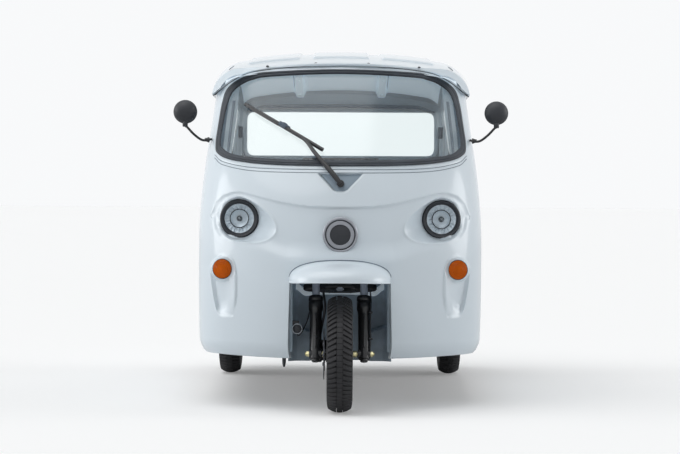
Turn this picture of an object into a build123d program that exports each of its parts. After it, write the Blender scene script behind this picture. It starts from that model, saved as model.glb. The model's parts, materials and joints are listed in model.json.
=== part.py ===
from build123d import *
import os
from collections import namedtuple
from math import asin, cos, radians, sin

os.makedirs("parts", exist_ok=True)

# A three wheeled passenger car: closed nose, open doorways, hard roof, one steered wheel, two rear wheels.
# Lengths are in mm. +Z is up, the car looks along -Y, and X = 0 is its plane of symmetry.
# "u" is the distance behind the front axle, and y_at turns it into Y. k is -1 on one side and 1 on the other.

# ---------------------------------------------------------------- driving dimensions
overall_length = 2770
wheelbase = 2050
track = 1146
tyre_od = 503
tyre_width = 110
rim_r = 152
rim_width = 84

nose_bow_r = 830
tail_corner_r = 140
wall = 28
panel_bottom = 225
door_front_u = 640
post_u = 1140
post_width = 60
post_depth = 75
quarter_u = 1720
quarter_top_u = 1850
tail_split_u = 2335
tail_bottom = 260
wheel_arch_r = 280

roof_wall = 25
roof_side_r = 130
roof_drop = 37
gutter_z = 1398
gutter_step = 8
rib_x = (194, 243)
rib_u = (520, 2300)
rib_t = 26

seal_proud = 5
seal_depth = 22
glass_in = 8
glass_t = 6

mask_depth = 14
pit_depth = 20
pod_depth = 22

lamp_x = 442
lamp_z = 833
lamp_ring_r = 85.5
lamp_lens_r = 65
lamp_front_u = 62
lamp_back_u = 190
lamp_back_t = 12
lens_t = 20
lens_edge_r = 12
bezel_proud = 10
indicator_x = 518
indicator_z = 608
indicator_r = 43.5
indicator_in = 6
badge_z = 765
badge_r = 75
badge_t = 8

well_half = 230
well_top = 600
well_back_u = 380
liner_t = 6
hood_lip_z = 556
hood_half = 212
hood_corner_u = -80
hood_tip_u = -245
hood_root_u = 40
hood_t = 7

floor_z = 330
floor_t = 12
floor_front_u = 460
bench_u = 1740
bench_z = 540
bench_top = 600
bench_back_u = 2320
bench_back_top = 1105
sheet_t = 15

rake_deg = 21
fork_offset = 30
leg_spacing = 209
fit_gap = 0.3
run_gap = 0.5

axle_z = tyre_od / 2
nose_to_mid = overall_length / 2 - tyre_od / 2
big = 2000


def y_at(u):
    return u - nose_to_mid


# ---------------------------------------------------------------- the body's outer form
# Plan sections of the body: height, nose, half widths of the bowed front, of the sides and of the tail.
PlanSection = namedtuple("PlanSection", "z nose_u bow_x side_x tail_x tail_u")
plan_sections = [
    PlanSection(150, -12, 500, 622, 680, 2445),
    PlanSection(300, -32, 500, 628, 686, 2455),
    PlanSection(650, -58, 500, 632, 690, 2462),
    PlanSection(850, -35, 500, 628, 684, 2460),
    PlanSection(1058, 45, 480, 611, 640, 2445),
    PlanSection(1400, 268, 440, 572, 565, 2400),
    PlanSection(1700, 463, 410, 535, 520, 2350),
]
# Cross sections of the roof: place, crown height and half width.
RoofSection = namedtuple("RoofSection", "u crown half")
roof_sections = [
    RoofSection(150, 1424, 560),
    RoofSection(340, 1514, 578),
    RoofSection(600, 1566, 592),
    RoofSection(900, 1600, 600),
    RoofSection(1300, 1626, 604),
    RoofSection(1800, 1604, 598),
    RoofSection(2200, 1545, 585),
    RoofSection(2560, 1455, 566),
]
# The roof's own plan runs out past the body's sides and tail.
roof_plan_sections = [
    PlanSection(1150, 94, 480, 640, 650, 2440),
    PlanSection(1700, 453, 480, 640, 650, 2440),
]


def body_form(inset, sections=plan_sections):
    """The body as a solid, its surface moved in by inset: bow, cheeks, sides and tail, lofted upwards."""
    with BuildPart() as form:
        for s in sections:
            bow_r = nose_bow_r - inset
            lean = asin(s.bow_x / nose_bow_r)
            bow_x = bow_r * sin(lean)
            nose_y = y_at(s.nose_u) + inset
            bow_y = nose_y + bow_r * (1 - cos(lean))
            side_x = s.side_x - inset
            side_y = bow_y + (side_x - bow_x) / (1 - sin(lean)) * cos(lean)
            corner = tail_corner_r - inset
            tail_x = s.tail_x - inset
            tail_y = y_at(s.tail_u) - inset
            with BuildSketch(Plane.XY.offset(s.z)):
                with BuildLine():
                    ThreePointArc((-bow_x, bow_y), (0, nose_y), (bow_x, bow_y))
                    for k in (1, -1):
                        leaving = (k * cos(lean), sin(lean))
                        cheek = TangentArc((k * bow_x, bow_y), (k * side_x, side_y), tangent=leaving)
                        side = TangentArc(cheek @ 1, (k * tail_x, tail_y - corner), tangent=(0, 1))
                        TangentArc(side @ 1, (k * (tail_x - corner), tail_y), tangent=side % 1)
                    Line((tail_x - corner, tail_y), (corner - tail_x, tail_y))
                make_face()
        loft()
    return form.part


def roof_form(inset):
    """The roof as a solid, its surface moved in by inset: crown arcs and round shoulders, lofted back."""
    with BuildPart() as form:
        for s in roof_sections:
            flat = s.half - roof_side_r
            crown_r = (flat**2 + roof_drop**2) / (2 * roof_drop)
            lean = asin(flat / crown_r)
            shoulder_r = roof_side_r / (1 - sin(lean)) - inset
            edge_x = (crown_r - inset) * sin(lean)
            edge_z = s.crown - crown_r + (crown_r - inset) * cos(lean)
            side_x = s.half - inset
            side_z = edge_z - shoulder_r * cos(lean)
            foot_z = roof_plan_sections[0].z
            with BuildSketch(Plane.XZ.offset(-y_at(s.u))):
                with BuildLine():
                    ThreePointArc((-edge_x, edge_z), (0, s.crown - inset), (edge_x, edge_z))
                    for k in (1, -1):
                        down = (k * cos(lean), -sin(lean))
                        shoulder = TangentArc((k * edge_x, edge_z), (k * side_x, side_z), tangent=down)
                        Line(shoulder @ 1, (k * side_x, foot_z))
                    Line((side_x, foot_z), (-side_x, foot_z))
                make_face()
        loft()
    return form.part


# ---------------------------------------------------------------- simple solids, and what is done to solids
nose_span = (-300, 420)
shield_span = (-300, 800)
tail_span = (2200, 2600)
whole_span = (-big, 3 * big)


def prism_y(points, span):
    """A prism along Y over an outline in X and Z, from one u to another."""
    with BuildPart() as prism:
        with BuildSketch(Plane.XZ.offset(-y_at(span[1]))):
            with BuildLine():
                Polyline(*points, close=True)
            make_face()
        extrude(amount=span[1] - span[0])
    return prism.part


def mirrored(points):
    """An outline's right half, from its top to its bottom, closed with its mirror image."""
    return list(points) + [(-x, z) for x, z in reversed(points) if x > 0]


def on_side(points, k):
    """An outline drawn for the side k = 1, on side k."""
    return [(k * x, z) for x, z in points]


def side_prism(points, x_min=-big, x_max=big):
    """A prism along X over an outline given in u and Z."""
    with BuildPart() as prism:
        with BuildSketch(Plane.YZ.offset(x_min)):
            with BuildLine():
                Polyline(*[(y_at(u), z) for u, z in points], close=True)
            make_face()
        extrude(amount=x_max - x_min)
    return prism.part


def block(x_min, x_max, u_min, u_max, z_min, z_max, corner_r=0):
    """A plain block between two corners, its four long edges along Z rounded."""
    with BuildPart() as box:
        centre = ((x_min + x_max) / 2, y_at((u_min + u_max) / 2), (z_min + z_max) / 2)
        with Locations(centre):
            Box(x_max - x_min, u_max - u_min, z_max - z_min)
        if corner_r:
            fillet(box.edges().filter_by(Axis.Z), corner_r)
    return box.part


def rod(start, end, radius, bore=0):
    """A round bar, or a tube with a bore, from start to end."""
    axis = Vector(*end) - Vector(*start)
    with BuildPart() as bar:
        with BuildSketch(Plane(origin=start, z_dir=axis)):
            Circle(radius)
            if bore:
                Circle(bore, mode=Mode.SUBTRACT)
        extrude(amount=axis.length)
    return bar.part


def rod_x(x_min, x_max, u, z, radius, bore=0):
    return rod((x_min, y_at(u), z), (x_max, y_at(u), z), radius, bore)


def rod_y(x, z, u_min, u_max, radius):
    return rod((x, y_at(u_min), z), (x, y_at(u_max), z), radius)


def bent_rod(points, bend_r, radius):
    """A round bar along straight runs joined by arcs."""
    with BuildPart() as bar:
        with BuildLine() as path:
            FilletPolyline(*points, radius=bend_r)
        with BuildSketch(Plane(origin=path.line @ 0, z_dir=path.line % 0)):
            Circle(radius)
        sweep()
    return bar.part


def cut(shape, *tools):
    """The shape with each tool taken out of it."""
    with BuildPart() as left:
        add(shape)
        for tool in tools:
            add(tool, mode=Mode.SUBTRACT)
    return left.part


def common(shape, *tools):
    """What the shape shares with every tool."""
    with BuildPart() as shared:
        add(shape)
        for tool in tools:
            add(tool, mode=Mode.INTERSECT)
    return shared.part


def join(*shapes):
    with BuildPart() as joined:
        for shape in shapes:
            add(shape)
    return joined.part


def each_side(make):
    """The left and right copies of what make returns for k = -1 and k = 1."""
    return [make(k) for k in (-1, 1)]


def save(shape, name):
    shape.label = name
    export_step(shape, f"parts/{name}.step")


body_outer = body_form(0)
body_inner = body_form(wall)
roof_outer = roof_form(0)
roof_inner = roof_form(roof_wall)
shell = cut(body_outer, body_inner)
above_lining = cut(block(-big, big, *whole_span, gutter_z - gutter_step, big), roof_inner)
under_roof = cut(shell, above_lining)

# ---------------------------------------------------------------- outlines seen from the front, in X and Z
belt_line = [(0, 1045), (350, 1051), (511, 1078), (560, 1112), (big, 1112)]
roof_line = [(0, 1512), (300, 1508), (420, 1490), (500, 1455), (545, 1420), (575, gutter_z), (big, gutter_z)]
seal_half = [
    (0, 1499), (300, 1493), (500, 1440), (549, 1330), (571, 1160),
    (548, 1112), (470, 1084), (290, 1063), (0, 1058),
]
pane_half = [
    (0, 1464), (296, 1458), (474, 1410), (515, 1322), (536, 1162),
    (520, 1138), (462, 1118), (288, 1098), (0, 1093),
]
mask_half = [
    (0, 884), (236, 898), (457, 945), (540, 915), (578, 845),
    (572, 804), (521, 747), (416, 701), (283, 660), (0, 646),
]
wiper_pit_half = [(0, 1024), (94, 1026), (17, 950), (0, 950)]
rear_window_half = [(0, 1388), (509, 1388), (509, 1150), (0, 1150)]
pod_outline = [(456, 676), (571, 676), (571, 500), (556, 392), (478, 392), (456, 500)]
well_foot = (well_half, 250)
well_head = (222, 562)
belt_end_z = belt_line[-1][1]

below_belt = prism_y(mirrored(belt_line + [(big, 0), (0, 0)]), whole_span)
above_belt = prism_y(mirrored([(0, big), (big, big)] + belt_line[::-1]), whole_span)
above_roof_line = prism_y(mirrored([(0, big), (big, big)] + roof_line[::-1]), whole_span)
seal_prism = prism_y(mirrored(seal_half), shield_span)
pane_prism = prism_y(mirrored(pane_half), shield_span)
well_prism = prism_y(mirrored([(0, well_head[1]), well_head, well_foot, (well_half, 0), (0, 0)]), nose_span)

# ---------------------------------------------------------------- nose: cowl, lamp bezels and pods
bezel_outer = [(345, 880), (440, 948), (520, 938), (574, 870), (572, 804), (516, 745), (420, 705), (300, 770)]
bezel_inner = [(340, 850), (440, 922), (500, 915), (541, 862), (541, 810), (496, 760), (420, 728), (330, 770)]


def lamp_bore(k):
    return rod_y(k * lamp_x, lamp_z, nose_span[0], nose_span[1], lamp_ring_r)


skin_below_mask = body_form(mask_depth)
skin_below_pod = body_form(pod_depth)
mask_cut = cut(prism_y(mirrored(mask_half), nose_span), skin_below_mask)
pit_cut = cut(prism_y(mirrored(wiper_pit_half), nose_span), body_form(pit_depth))
pod_cuts = each_side(lambda k: cut(prism_y(on_side(pod_outline, k), nose_span), skin_below_pod))
lamp_bores = each_side(lamp_bore)

front_zone = block(-big, big, -big, door_front_u, panel_bottom, big)
front_cowl = cut(common(shell, below_belt, front_zone), mask_cut, pit_cut, well_prism, *pod_cuts, *lamp_bores)
save(front_cowl, "front_cowl")

bezel_skin = cut(body_form(-bezel_proud), skin_below_mask)


def lamp_bezel(k):
    """A raised lip round a headlamp, standing on the recessed band."""
    outer = prism_y(on_side(bezel_outer, k), nose_span)
    inner = prism_y(on_side(bezel_inner, k), nose_span)
    return cut(common(bezel_skin, outer), inner)


save(cut(join(*each_side(lamp_bezel)), front_cowl, *lamp_bores), "lamp_bezels")

pillar_back_u = 715
pillar_zone = side_prism(
    [
        (-big, 1000), (door_front_u, 1000), (door_front_u, belt_end_z), (pillar_back_u, gutter_z),
        (pillar_back_u, big), (-big, big),
    ]
)
windshield_frame = cut(common(under_roof, above_belt, pillar_zone), above_roof_line, seal_prism)
save(windshield_frame, "windshield_frame")

windshield_seal = cut(common(cut(body_form(-seal_proud), body_form(seal_depth)), seal_prism), pane_prism)
save(windshield_seal, "windshield_seal")
pane_skin = cut(body_form(glass_in), body_form(glass_in + glass_t))
save(common(pane_skin, pane_prism), "windshield_glass")

# ---------------------------------------------------------------- roof
roof_line_end_u = 900
roof_zone = join(
    common(above_roof_line, block(-big, big, -big, roof_line_end_u, 0, big)),
    block(-big, big, roof_line_end_u, 2 * big, gutter_z, big),
)
roof = common(cut(roof_outer, roof_inner), roof_zone, body_form(0, roof_plan_sections))
save(roof, "roof")


def rib_zone(k):
    x_min, x_max = sorted((k * rib_x[0], k * rib_x[1]))
    return block(x_min, x_max, *rib_u, 0, big)


save(common(cut(roof_inner, roof_form(roof_wall + rib_t)), join(*each_side(rib_zone))), "roof_ribs")

# ---------------------------------------------------------------- posts, quarters, tail and sills
floor_top = floor_z + floor_t
post_wall = cut(body_outer, body_form(post_depth), above_lining)
save(common(post_wall, block(-big, big, post_u, post_u + post_width, floor_top, big)), "door_posts")

quarter_knee_z = 900
arch = rod_x(-big, big, wheelbase, axle_z, wheel_arch_r)
quarter_zone = side_prism(
    [
        (quarter_u, panel_bottom), (quarter_u, quarter_knee_z), (quarter_top_u, gutter_z),
        (quarter_top_u, big), (tail_split_u, big), (tail_split_u, panel_bottom),
    ]
)
save(cut(common(under_roof, quarter_zone), arch), "quarter_panels")

tail_zone = block(-big, big, tail_split_u, 2 * big, tail_bottom, big)
rear_window = prism_y(mirrored(rear_window_half), tail_span)
save(cut(common(under_roof, tail_zone), rear_window), "rear_panel")
save(common(pane_skin, rear_window), "rear_glass")

save(common(shell, block(-big, big, door_front_u, quarter_u, panel_bottom, floor_top)), "sills")

# ---------------------------------------------------------------- fork plane, wheel well, hood over the wheel
rake = radians(rake_deg)
fork_plane = Plane(origin=(0, y_at(0), axle_z), x_dir=(1, 0, 0), z_dir=(0, sin(rake), cos(rake)))
stem_clearance_r = 45
stem_clearance = (300, 500)


def on_fork(x, along, up):
    """A point given across the fork, behind its legs and up them."""
    return tuple(fork_plane.from_local_coords((x, along, up)))


def on_stem(up):
    return on_fork(0, fork_offset, up)


liner_half = well_half + liner_t
well_shell = cut(
    block(-liner_half, liner_half, nose_span[0], well_back_u, panel_bottom, well_top + liner_t),
    block(-well_half, well_half, nose_span[0], well_back_u - liner_t, 0, well_top),
)
stem_hole = rod(on_stem(stem_clearance[0]), on_stem(stem_clearance[1]), stem_clearance_r)
save(cut(common(well_shell, body_inner), stem_hole), "wheel_well")

# Sections of the hood: place, half width at its foot, shoulder height, half width and height of its top.
HoodSection = namedtuple("HoodSection", "u foot shoulder_z top_x top_z")
hood_sections = [
    HoodSection(hood_root_u, 214, 606, 128, 664),
    HoodSection(hood_tip_u, 206, 566, 120, 578),
]
hood_skirt = 40
hood_reach = 160
hood_height = 150


def hood_form(inset):
    """The hood over the wheel as a solid: an arch at its root and a low arch at its lip."""
    with BuildPart() as form:
        for s in hood_sections:
            foot = (s.foot - inset, hood_lip_z - hood_skirt)
            shoulder = (s.foot - inset, s.shoulder_z - inset)
            top = (s.top_x, s.top_z - inset)
            with BuildSketch(Plane.XZ.offset(-y_at(s.u))):
                with BuildLine():
                    Polyline(*mirrored([top, shoulder, foot]), close=True)
                make_face()
        loft(ruled=True)
    return form.part


def hood_plan(inset):
    """The hood's round plan as an upright solid."""
    half = hood_half - inset
    back_y = y_at(hood_root_u + hood_reach)
    with BuildPart() as plan:
        with BuildSketch(Plane.XY.offset(hood_lip_z)):
            with BuildLine():
                tip = (0, y_at(hood_tip_u) + inset)
                lip = ThreePointArc((-half, y_at(hood_corner_u)), tip, (half, y_at(hood_corner_u)))
                Polyline(lip @ 1, (half, back_y), (-half, back_y), lip @ 0)
            make_face()
        extrude(amount=hood_height)
    return plan.part


hood_solid = common(hood_form(0), hood_plan(0))
hood_hollow = common(hood_form(hood_t), hood_plan(hood_t))
save(cut(hood_solid, hood_hollow, body_outer), "wheel_hood")

badge_rod = rod_y(0, badge_z, nose_span[0], 50, badge_r)
save(common(cut(body_form(mask_depth - badge_t), skin_below_mask), badge_rod), "nose_disc")


# ---------------------------------------------------------------- headlamps, indicators, tail lamps, bumper
def headlamp_housing(k):
    """A deep round cup with a closed back."""
    cup = rod_y(k * lamp_x, lamp_z, lamp_front_u, lamp_back_u, lamp_ring_r - fit_gap)
    bowl = rod_y(k * lamp_x, lamp_z, lamp_front_u, lamp_back_u - lamp_back_t, lamp_lens_r)
    return cut(cup, bowl)


def headlamp_lens(k):
    with BuildPart() as lens:
        with BuildSketch(Plane.XZ.offset(-y_at(lamp_front_u + lens_t + 10))):
            with Locations((k * lamp_x, lamp_z)):
                Circle(lamp_lens_r)
        extrude(amount=lens_t)
        fillet(lens.faces().sort_by(Axis.Y)[0].edges(), lens_edge_r)
    return lens.part


def indicator(k):
    disc = rod_y(k * indicator_x, indicator_z, *nose_span, indicator_r)
    return common(cut(body_form(indicator_in), skin_below_pod), disc)


save(join(*each_side(headlamp_housing)), "headlamp_housings")
save(join(*each_side(headlamp_lens)), "headlamp_lenses")
save(join(*each_side(indicator)), "indicators")

tail_lamp_proud = 16
tail_lamp_outline = [(560, 900), (640, 900), (652, 640), (560, 640)]
tail_lamp_span = (2380, tail_span[1])
tail_lamp_zone = join(*each_side(lambda k: prism_y(on_side(tail_lamp_outline, k), tail_lamp_span)))
save(common(cut(body_form(-tail_lamp_proud), body_outer), tail_lamp_zone), "tail_lamps")

bumper_half = 600
bumper_u = (2380, 2520)
bumper_z = (300, 405)
bumper_corner_r = 60
save(cut(block(-bumper_half, bumper_half, *bumper_u, *bumper_z, bumper_corner_r), body_outer), "rear_bumper")

# ---------------------------------------------------------------- mirrors and wiper
mirror_x = 695
mirror_z = 1305
mirror_u = 350
mirror_r = 53
mirror_t = 40
mirror_edge_r = (24, 5)
arm_r = 6
arm_bend_r = 22
ArmPoint = namedtuple("ArmPoint", "x u z")
arm_route = [
    ArmPoint(560, 400, 1180), ArmPoint(625, 395, 1184), ArmPoint(672, 370, 1215),
    ArmPoint(mirror_x, mirror_u, mirror_z - mirror_r + 12),
]


def mirror_on_arm(k):
    with BuildPart() as head:
        with BuildSketch(Plane.XZ.offset(-y_at(mirror_u + mirror_t / 2))):
            with Locations((k * mirror_x, mirror_z)):
                Circle(mirror_r)
        extrude(amount=mirror_t)
        fillet(head.faces().sort_by(Axis.Y)[0].edges(), mirror_edge_r[0])
        fillet(head.faces().sort_by(Axis.Y)[-1].edges(), mirror_edge_r[1])
    arm = bent_rod([(k * p.x, y_at(p.u), p.z) for p in arm_route], arm_bend_r, arm_r)
    return join(head.part, cut(arm, body_outer))


save(join(*each_side(mirror_on_arm)), "mirrors")

wiper_pivot = (0, 985)
wiper_clip = (-252, 1250)
wiper_blade = [(-410, 1330), (-84, 1135)]
wiper_layer = (10, 24)
wiper_arm_width = 16
wiper_blade_width = 14
wiper_boss_r = 16
spindle_r = 11


def bar_outline(start, end, width):
    """The corners of a flat bar between two points in X and Z."""
    run = Vector(end[0] - start[0], end[1] - start[1])
    side = Vector(-run.Y, run.X).normalized() * (width / 2)
    return [
        (start[0] + side.X, start[1] + side.Y),
        (end[0] + side.X, end[1] + side.Y),
        (end[0] - side.X, end[1] - side.Y),
        (start[0] - side.X, start[1] - side.Y),
    ]


wiper_front = body_form(-wiper_layer[1])
wiper_bars = join(
    prism_y(bar_outline(wiper_pivot, wiper_clip, wiper_arm_width), shield_span),
    prism_y(bar_outline(*wiper_blade, wiper_blade_width), shield_span),
    rod_y(*wiper_pivot, *shield_span, wiper_boss_r),
)
spindle = common(cut(wiper_front, body_form(pit_depth)), rod_y(*wiper_pivot, *nose_span, spindle_r))
save(join(common(cut(wiper_front, body_form(-wiper_layer[0])), wiper_bars), spindle), "wiper")

# ---------------------------------------------------------------- chassis
rail_x = 330
rail_half = 25
rail_profile = [
    (420, 270), (1690, 270), (1780, 400), (2420, 400),
    (2420, 460), (1755, 460), (1665, floor_z), (420, floor_z),
]
rails = each_side(lambda k: side_prism(rail_profile, k * rail_x - rail_half, k * rail_x + rail_half))
cross_h = 50
CrossMember = namedtuple("CrossMember", "u_min u_max z")
cross_rows = [
    CrossMember(395, 455, 275),
    CrossMember(1130, 1180, 275),
    CrossMember(1790, 1840, 405),
    CrossMember(2360, 2410, 405),
]
cross_members = [block(-rail_x, rail_x, c.u_min, c.u_max, c.z, c.z + cross_h) for c in cross_rows]
tow_half = 8
tow_hole_r = 11
tow_hole_u = 2457
tow_hole_z = 229
tow_profile = [(2370, 405), (2370, 205), (2482, 205), (2482, 252), (2418, 252), (2410, 405)]
tow_eye = side_prism(tow_profile, -tow_half, tow_half)
tow_hole = rod_x(-rail_half, rail_half, tow_hole_u, tow_hole_z, tow_hole_r)
save(cut(join(*rails, *cross_members, tow_eye), tow_hole), "chassis")

# The gooseneck stands on the front cross member and carries the head tube over the front wheel.
neck_half = 30
neck_t = 63
head_bottom = 400
head_top = 575
head_r = 34
head_bore_r = 23
front_cross = cross_rows[0]
neck_foot_z = front_cross.z + cross_h
neck_back_u = front_cross.u_max
neck_front_u = neck_back_u - neck_t
neck_profile = [
    (neck_front_u, neck_foot_z), (neck_back_u, neck_foot_z), (neck_back_u, 705), (235, 800), (205, 730),
    (neck_front_u, 640),
]
head_tube = rod(on_stem(head_bottom), on_stem(head_top), head_r)
head_bore = rod(on_stem(head_bottom - head_r), on_stem(head_top + head_r), head_bore_r)
save(cut(join(side_prism(neck_profile, -neck_half, neck_half), head_tube), head_bore), "gooseneck")

floor_sheet = block(-big, big, floor_front_u, bench_u + sheet_t, floor_z, floor_top)
save(cut(common(body_inner, floor_sheet), *rails), "floor")

battery_u = (1200, 1640)
battery_bottom = 195
battery_corner_r = 12
battery_half = rail_x - rail_half
save(block(-battery_half, battery_half, *battery_u, battery_bottom, floor_z, battery_corner_r), "battery_box")

# ---------------------------------------------------------------- rear axle, motor, springs
axle_u = wheelbase
wheel_x = track / 2
motor_half = 130
motor_reach = (120, 100)
motor_corner_r = 30
axle_tube_r = 30
backing_x = wheel_x - 85
backing_r = 104
backing_t = (6, 3)
stub_r = 14
stub_past_wheel = 22
motor_block = block(
    -motor_half, motor_half, axle_u - motor_reach[0], axle_u + motor_reach[0],
    axle_z - motor_reach[1], axle_z + motor_reach[1], motor_corner_r,
)
save(motor_block, "motor_block")


def axle_rod(k, x_near, x_far, radius):
    return rod((k * x_near, y_at(axle_u), axle_z), (k * x_far, y_at(axle_u), axle_z), radius)


def half_axle(k):
    """An axle tube with its brake's backing plate and its stub."""
    return join(
        axle_rod(k, motor_half, backing_x, axle_tube_r),
        axle_rod(k, backing_x - backing_t[0], backing_x + backing_t[1], backing_r),
        axle_rod(k, backing_x, wheel_x + stub_past_wheel, stub_r),
    )


save(join(*each_side(half_axle)), "rear_axle")

spring_ends = (1820, 2310)
spring_eye_z = 380
spring_t = 26
spring_half = 22
spring_low_z = axle_z + axle_tube_r + 10
saddle_half = 36
hanger_half = 25
hanger_drop = 6
hanger_top_z = 400


def leaf_spring(k):
    """A bowed leaf pack with a saddle on the axle tube and a hanger block at each end under the rail."""
    x_min, x_max = k * rail_x - spring_half, k * rail_x + spring_half
    front_y, back_y = (y_at(u) for u in spring_ends)
    eye_low_z = spring_eye_z - spring_t
    with BuildPart() as leaf:
        with BuildSketch(Plane.YZ.offset(x_min)):
            with BuildLine():
                low = ThreePointArc((front_y, eye_low_z), (y_at(axle_u), spring_low_z), (back_y, eye_low_z))
                high_z = spring_low_z + spring_t
                high = ThreePointArc((front_y, spring_eye_z), (y_at(axle_u), high_z), (back_y, spring_eye_z))
                Line(low @ 0, high @ 0)
                Line(low @ 1, high @ 1)
            make_face()
        extrude(amount=x_max - x_min)
    saddle = block(x_min, x_max, axle_u - saddle_half, axle_u + saddle_half, axle_z, spring_low_z + spring_t)
    hanger_z = (eye_low_z - hanger_drop, hanger_top_z)
    hangers = [block(x_min, x_max, u - hanger_half, u + hanger_half, *hanger_z) for u in spring_ends]
    return cut(join(leaf.part, saddle, *hangers), rod_x(-big, big, axle_u, axle_z, axle_tube_r))


save(join(*each_side(leaf_spring)), "leaf_springs")

# ---------------------------------------------------------------- wheels: profiles along the axle and radius
hub_r = 30
flange_r = rim_r + 14
rim_half = rim_width / 2
web_half = 4
drum_r = (92, 100)
drum_web_t = 8


def wheel_plane(x, u):
    """The plane of a wheel's profile: its local x runs along the axle, its local y up the radius."""
    return Plane(origin=(x, y_at(u), axle_z), x_dir=(1, 0, 0), z_dir=(0, -1, 0))


def tyre_shape(x, u):
    """A tyre as a shell of revolution, open at its bead."""
    crown_r = tyre_od / 2
    half = tyre_width / 2
    bead = rim_half - 6
    shoulder = (half - 6, crown_r - 17)
    outside = [(bead, rim_r), (bead, flange_r + 2), (half - 7, flange_r + 8), (half, crown_r - 46), shoulder]
    inside = [
        (20, crown_r - 13), (half - 15, crown_r - 38), (half - 12, crown_r - 62),
        (bead - 12, flange_r), (bead - 12, rim_r),
    ]
    with BuildPart() as tyre:
        with BuildSketch(wheel_plane(x, u)):
            with BuildLine():
                ThreePointArc((-shoulder[0], shoulder[1]), (0, crown_r), shoulder)
                Polyline(*outside)
                Polyline(*on_side(outside, -1))
                Line(outside[0], inside[-1])
                Line(*on_side([outside[0], inside[-1]], -1))
                Polyline(*(inside[::-1] + on_side(inside, -1)))
            make_face()
        revolve(axis=Axis((x, y_at(u), axle_z), (1, 0, 0)))
    return tyre.part


def rectangle(x_min, x_max, r_min, r_max):
    return [(x_min, r_min), (x_max, r_min), (x_max, r_max), (x_min, r_max)]


def rim_shape(x, u, bore, hub_in, hub_out, web_x, drum=None):
    """A pressed rim: a barrel with two flanges, a web, a hub, and a brake drum if it has one."""
    lip = -rim_half + 6
    outer = [(-rim_half, flange_r), (lip, flange_r), (lip, rim_r), (-22, rim_r), (-14, rim_r - 16)]
    inner = [(rim_half, rim_r - 6), (26, rim_r - 6), (18, rim_r - 22)]
    barrel = outer + on_side(outer[::-1], -1) + inner + on_side(inner[::-1], -1)
    hub = rectangle(hub_in, hub_out, bore, hub_r)
    web = rectangle(web_x - web_half, web_x + web_half, hub_r - 5, rim_r - 18)
    profiles = [barrel, hub, web]
    if drum:
        drum_in, drum_out = drum
        web_in = drum_out - drum_web_t * (1 if drum_out > drum_in else -1)
        profiles.append(
            [
                (drum_in, drum_r[0]), (drum_in, drum_r[1]), (drum_out, drum_r[1]), (drum_out, hub_r - 5),
                (web_in, hub_r - 5), (web_in, drum_r[0]),
            ]
        )
    with BuildPart() as rim:
        with BuildSketch(wheel_plane(x, u)):
            for profile in profiles:
                with BuildLine():
                    Polyline(*profile, close=True)
                make_face()
        revolve(axis=Axis((x, y_at(u), axle_z), (1, 0, 0)))
    return rim.part


for name, k in (("rear_left", 1), ("rear_right", -1)):
    save(tyre_shape(k * wheel_x, axle_u), f"{name}_tyre")
    rear_rim = rim_shape(k * wheel_x, axle_u, stub_r + run_gap, -k * 45, k * 36, k * 12, (-k * 76, -k * 30))
    save(rear_rim, f"{name}_rim")

# ---------------------------------------------------------------- front wheel, axle and fork
axle_r = 8.5
spacer_r = 14
disc_x = -68
disc_half = 2
disc_r = 108
disc_hole_r = 60
disc_hub_x = -62
disc_hub_r = 62
save(tyre_shape(0, 0), "front_tyre")
hub_end_x = 42
save(rim_shape(0, 0, axle_r + run_gap, disc_hub_x, hub_end_x, 10), "front_rim")
brake_disc = join(
    rod_x(disc_x - disc_half, disc_x + disc_half, 0, axle_z, disc_r, disc_hole_r),
    rod_x(disc_x - disc_half, disc_hub_x, 0, axle_z, disc_hub_r, axle_r + run_gap),
)
save(brake_disc, "brake_disc")

leg_x = leg_spacing / 2
leg_r = 26
leg_low = -34
leg_top = 205
lug_half = 28
lug_r = 22
nut_t = 16
collar_r = 30
collar_top = 270
crown_low = 283
crown_high = 316
crown_reach = 105
crown_depth = 84
crown_corner_r = 36
crown_back = 12
stanchion_r = 16

axle_end_x = leg_x + lug_half + nut_t
spacers = [
    (-axle_end_x, -leg_x - lug_half), (-leg_x + lug_half, disc_x - disc_half - run_gap),
    (hub_end_x + 2, leg_x - lug_half), (leg_x + lug_half, axle_end_x),
]
axle_bar = rod_x(-axle_end_x, axle_end_x, 0, axle_z, axle_r)
save(join(axle_bar, *[rod_x(start, end, 0, axle_z, spacer_r) for start, end in spacers]), "front_axle")

axle_hole = rod_x(-big, big, 0, axle_z, axle_r)


def leg_rod(k, low, high, radius):
    return rod(on_fork(k * leg_x, 0, low), on_fork(k * leg_x, 0, high), radius)


def fork_leg(k):
    """A fork's lower leg with its collar and its axle lug."""
    lug = rod((k * (leg_x - lug_half), y_at(0), axle_z), (k * (leg_x + lug_half), y_at(0), axle_z), lug_r)
    tube = leg_rod(k, leg_low, leg_top, leg_r)
    collar = leg_rod(k, leg_top, collar_top, collar_r)
    return cut(join(tube, collar, lug), axle_hole)


save(join(*each_side(fork_leg)), "fork_legs")

stem_r = 19
stem_top = 800
stem_overlap = 10
race_t = 24
race_starts = (head_bottom + 4, head_top - race_t - 4)
with BuildPart() as fork_crown:
    with BuildSketch(fork_plane.offset(crown_low)):
        with Locations((0, crown_back)):
            RectangleRounded(leg_spacing + crown_reach, crown_depth, crown_corner_r)
    extrude(amount=crown_high - crown_low)
stanchions = each_side(lambda k: leg_rod(k, collar_top, crown_low + stem_overlap, stanchion_r))
stem = rod(on_stem(crown_high - stem_overlap), on_stem(stem_top), stem_r)
races = [rod(on_stem(start), on_stem(start + race_t), head_bore_r - fit_gap) for start in race_starts]
save(join(fork_crown.part, stem, *stanchions, *races), "steering_stem")

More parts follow.
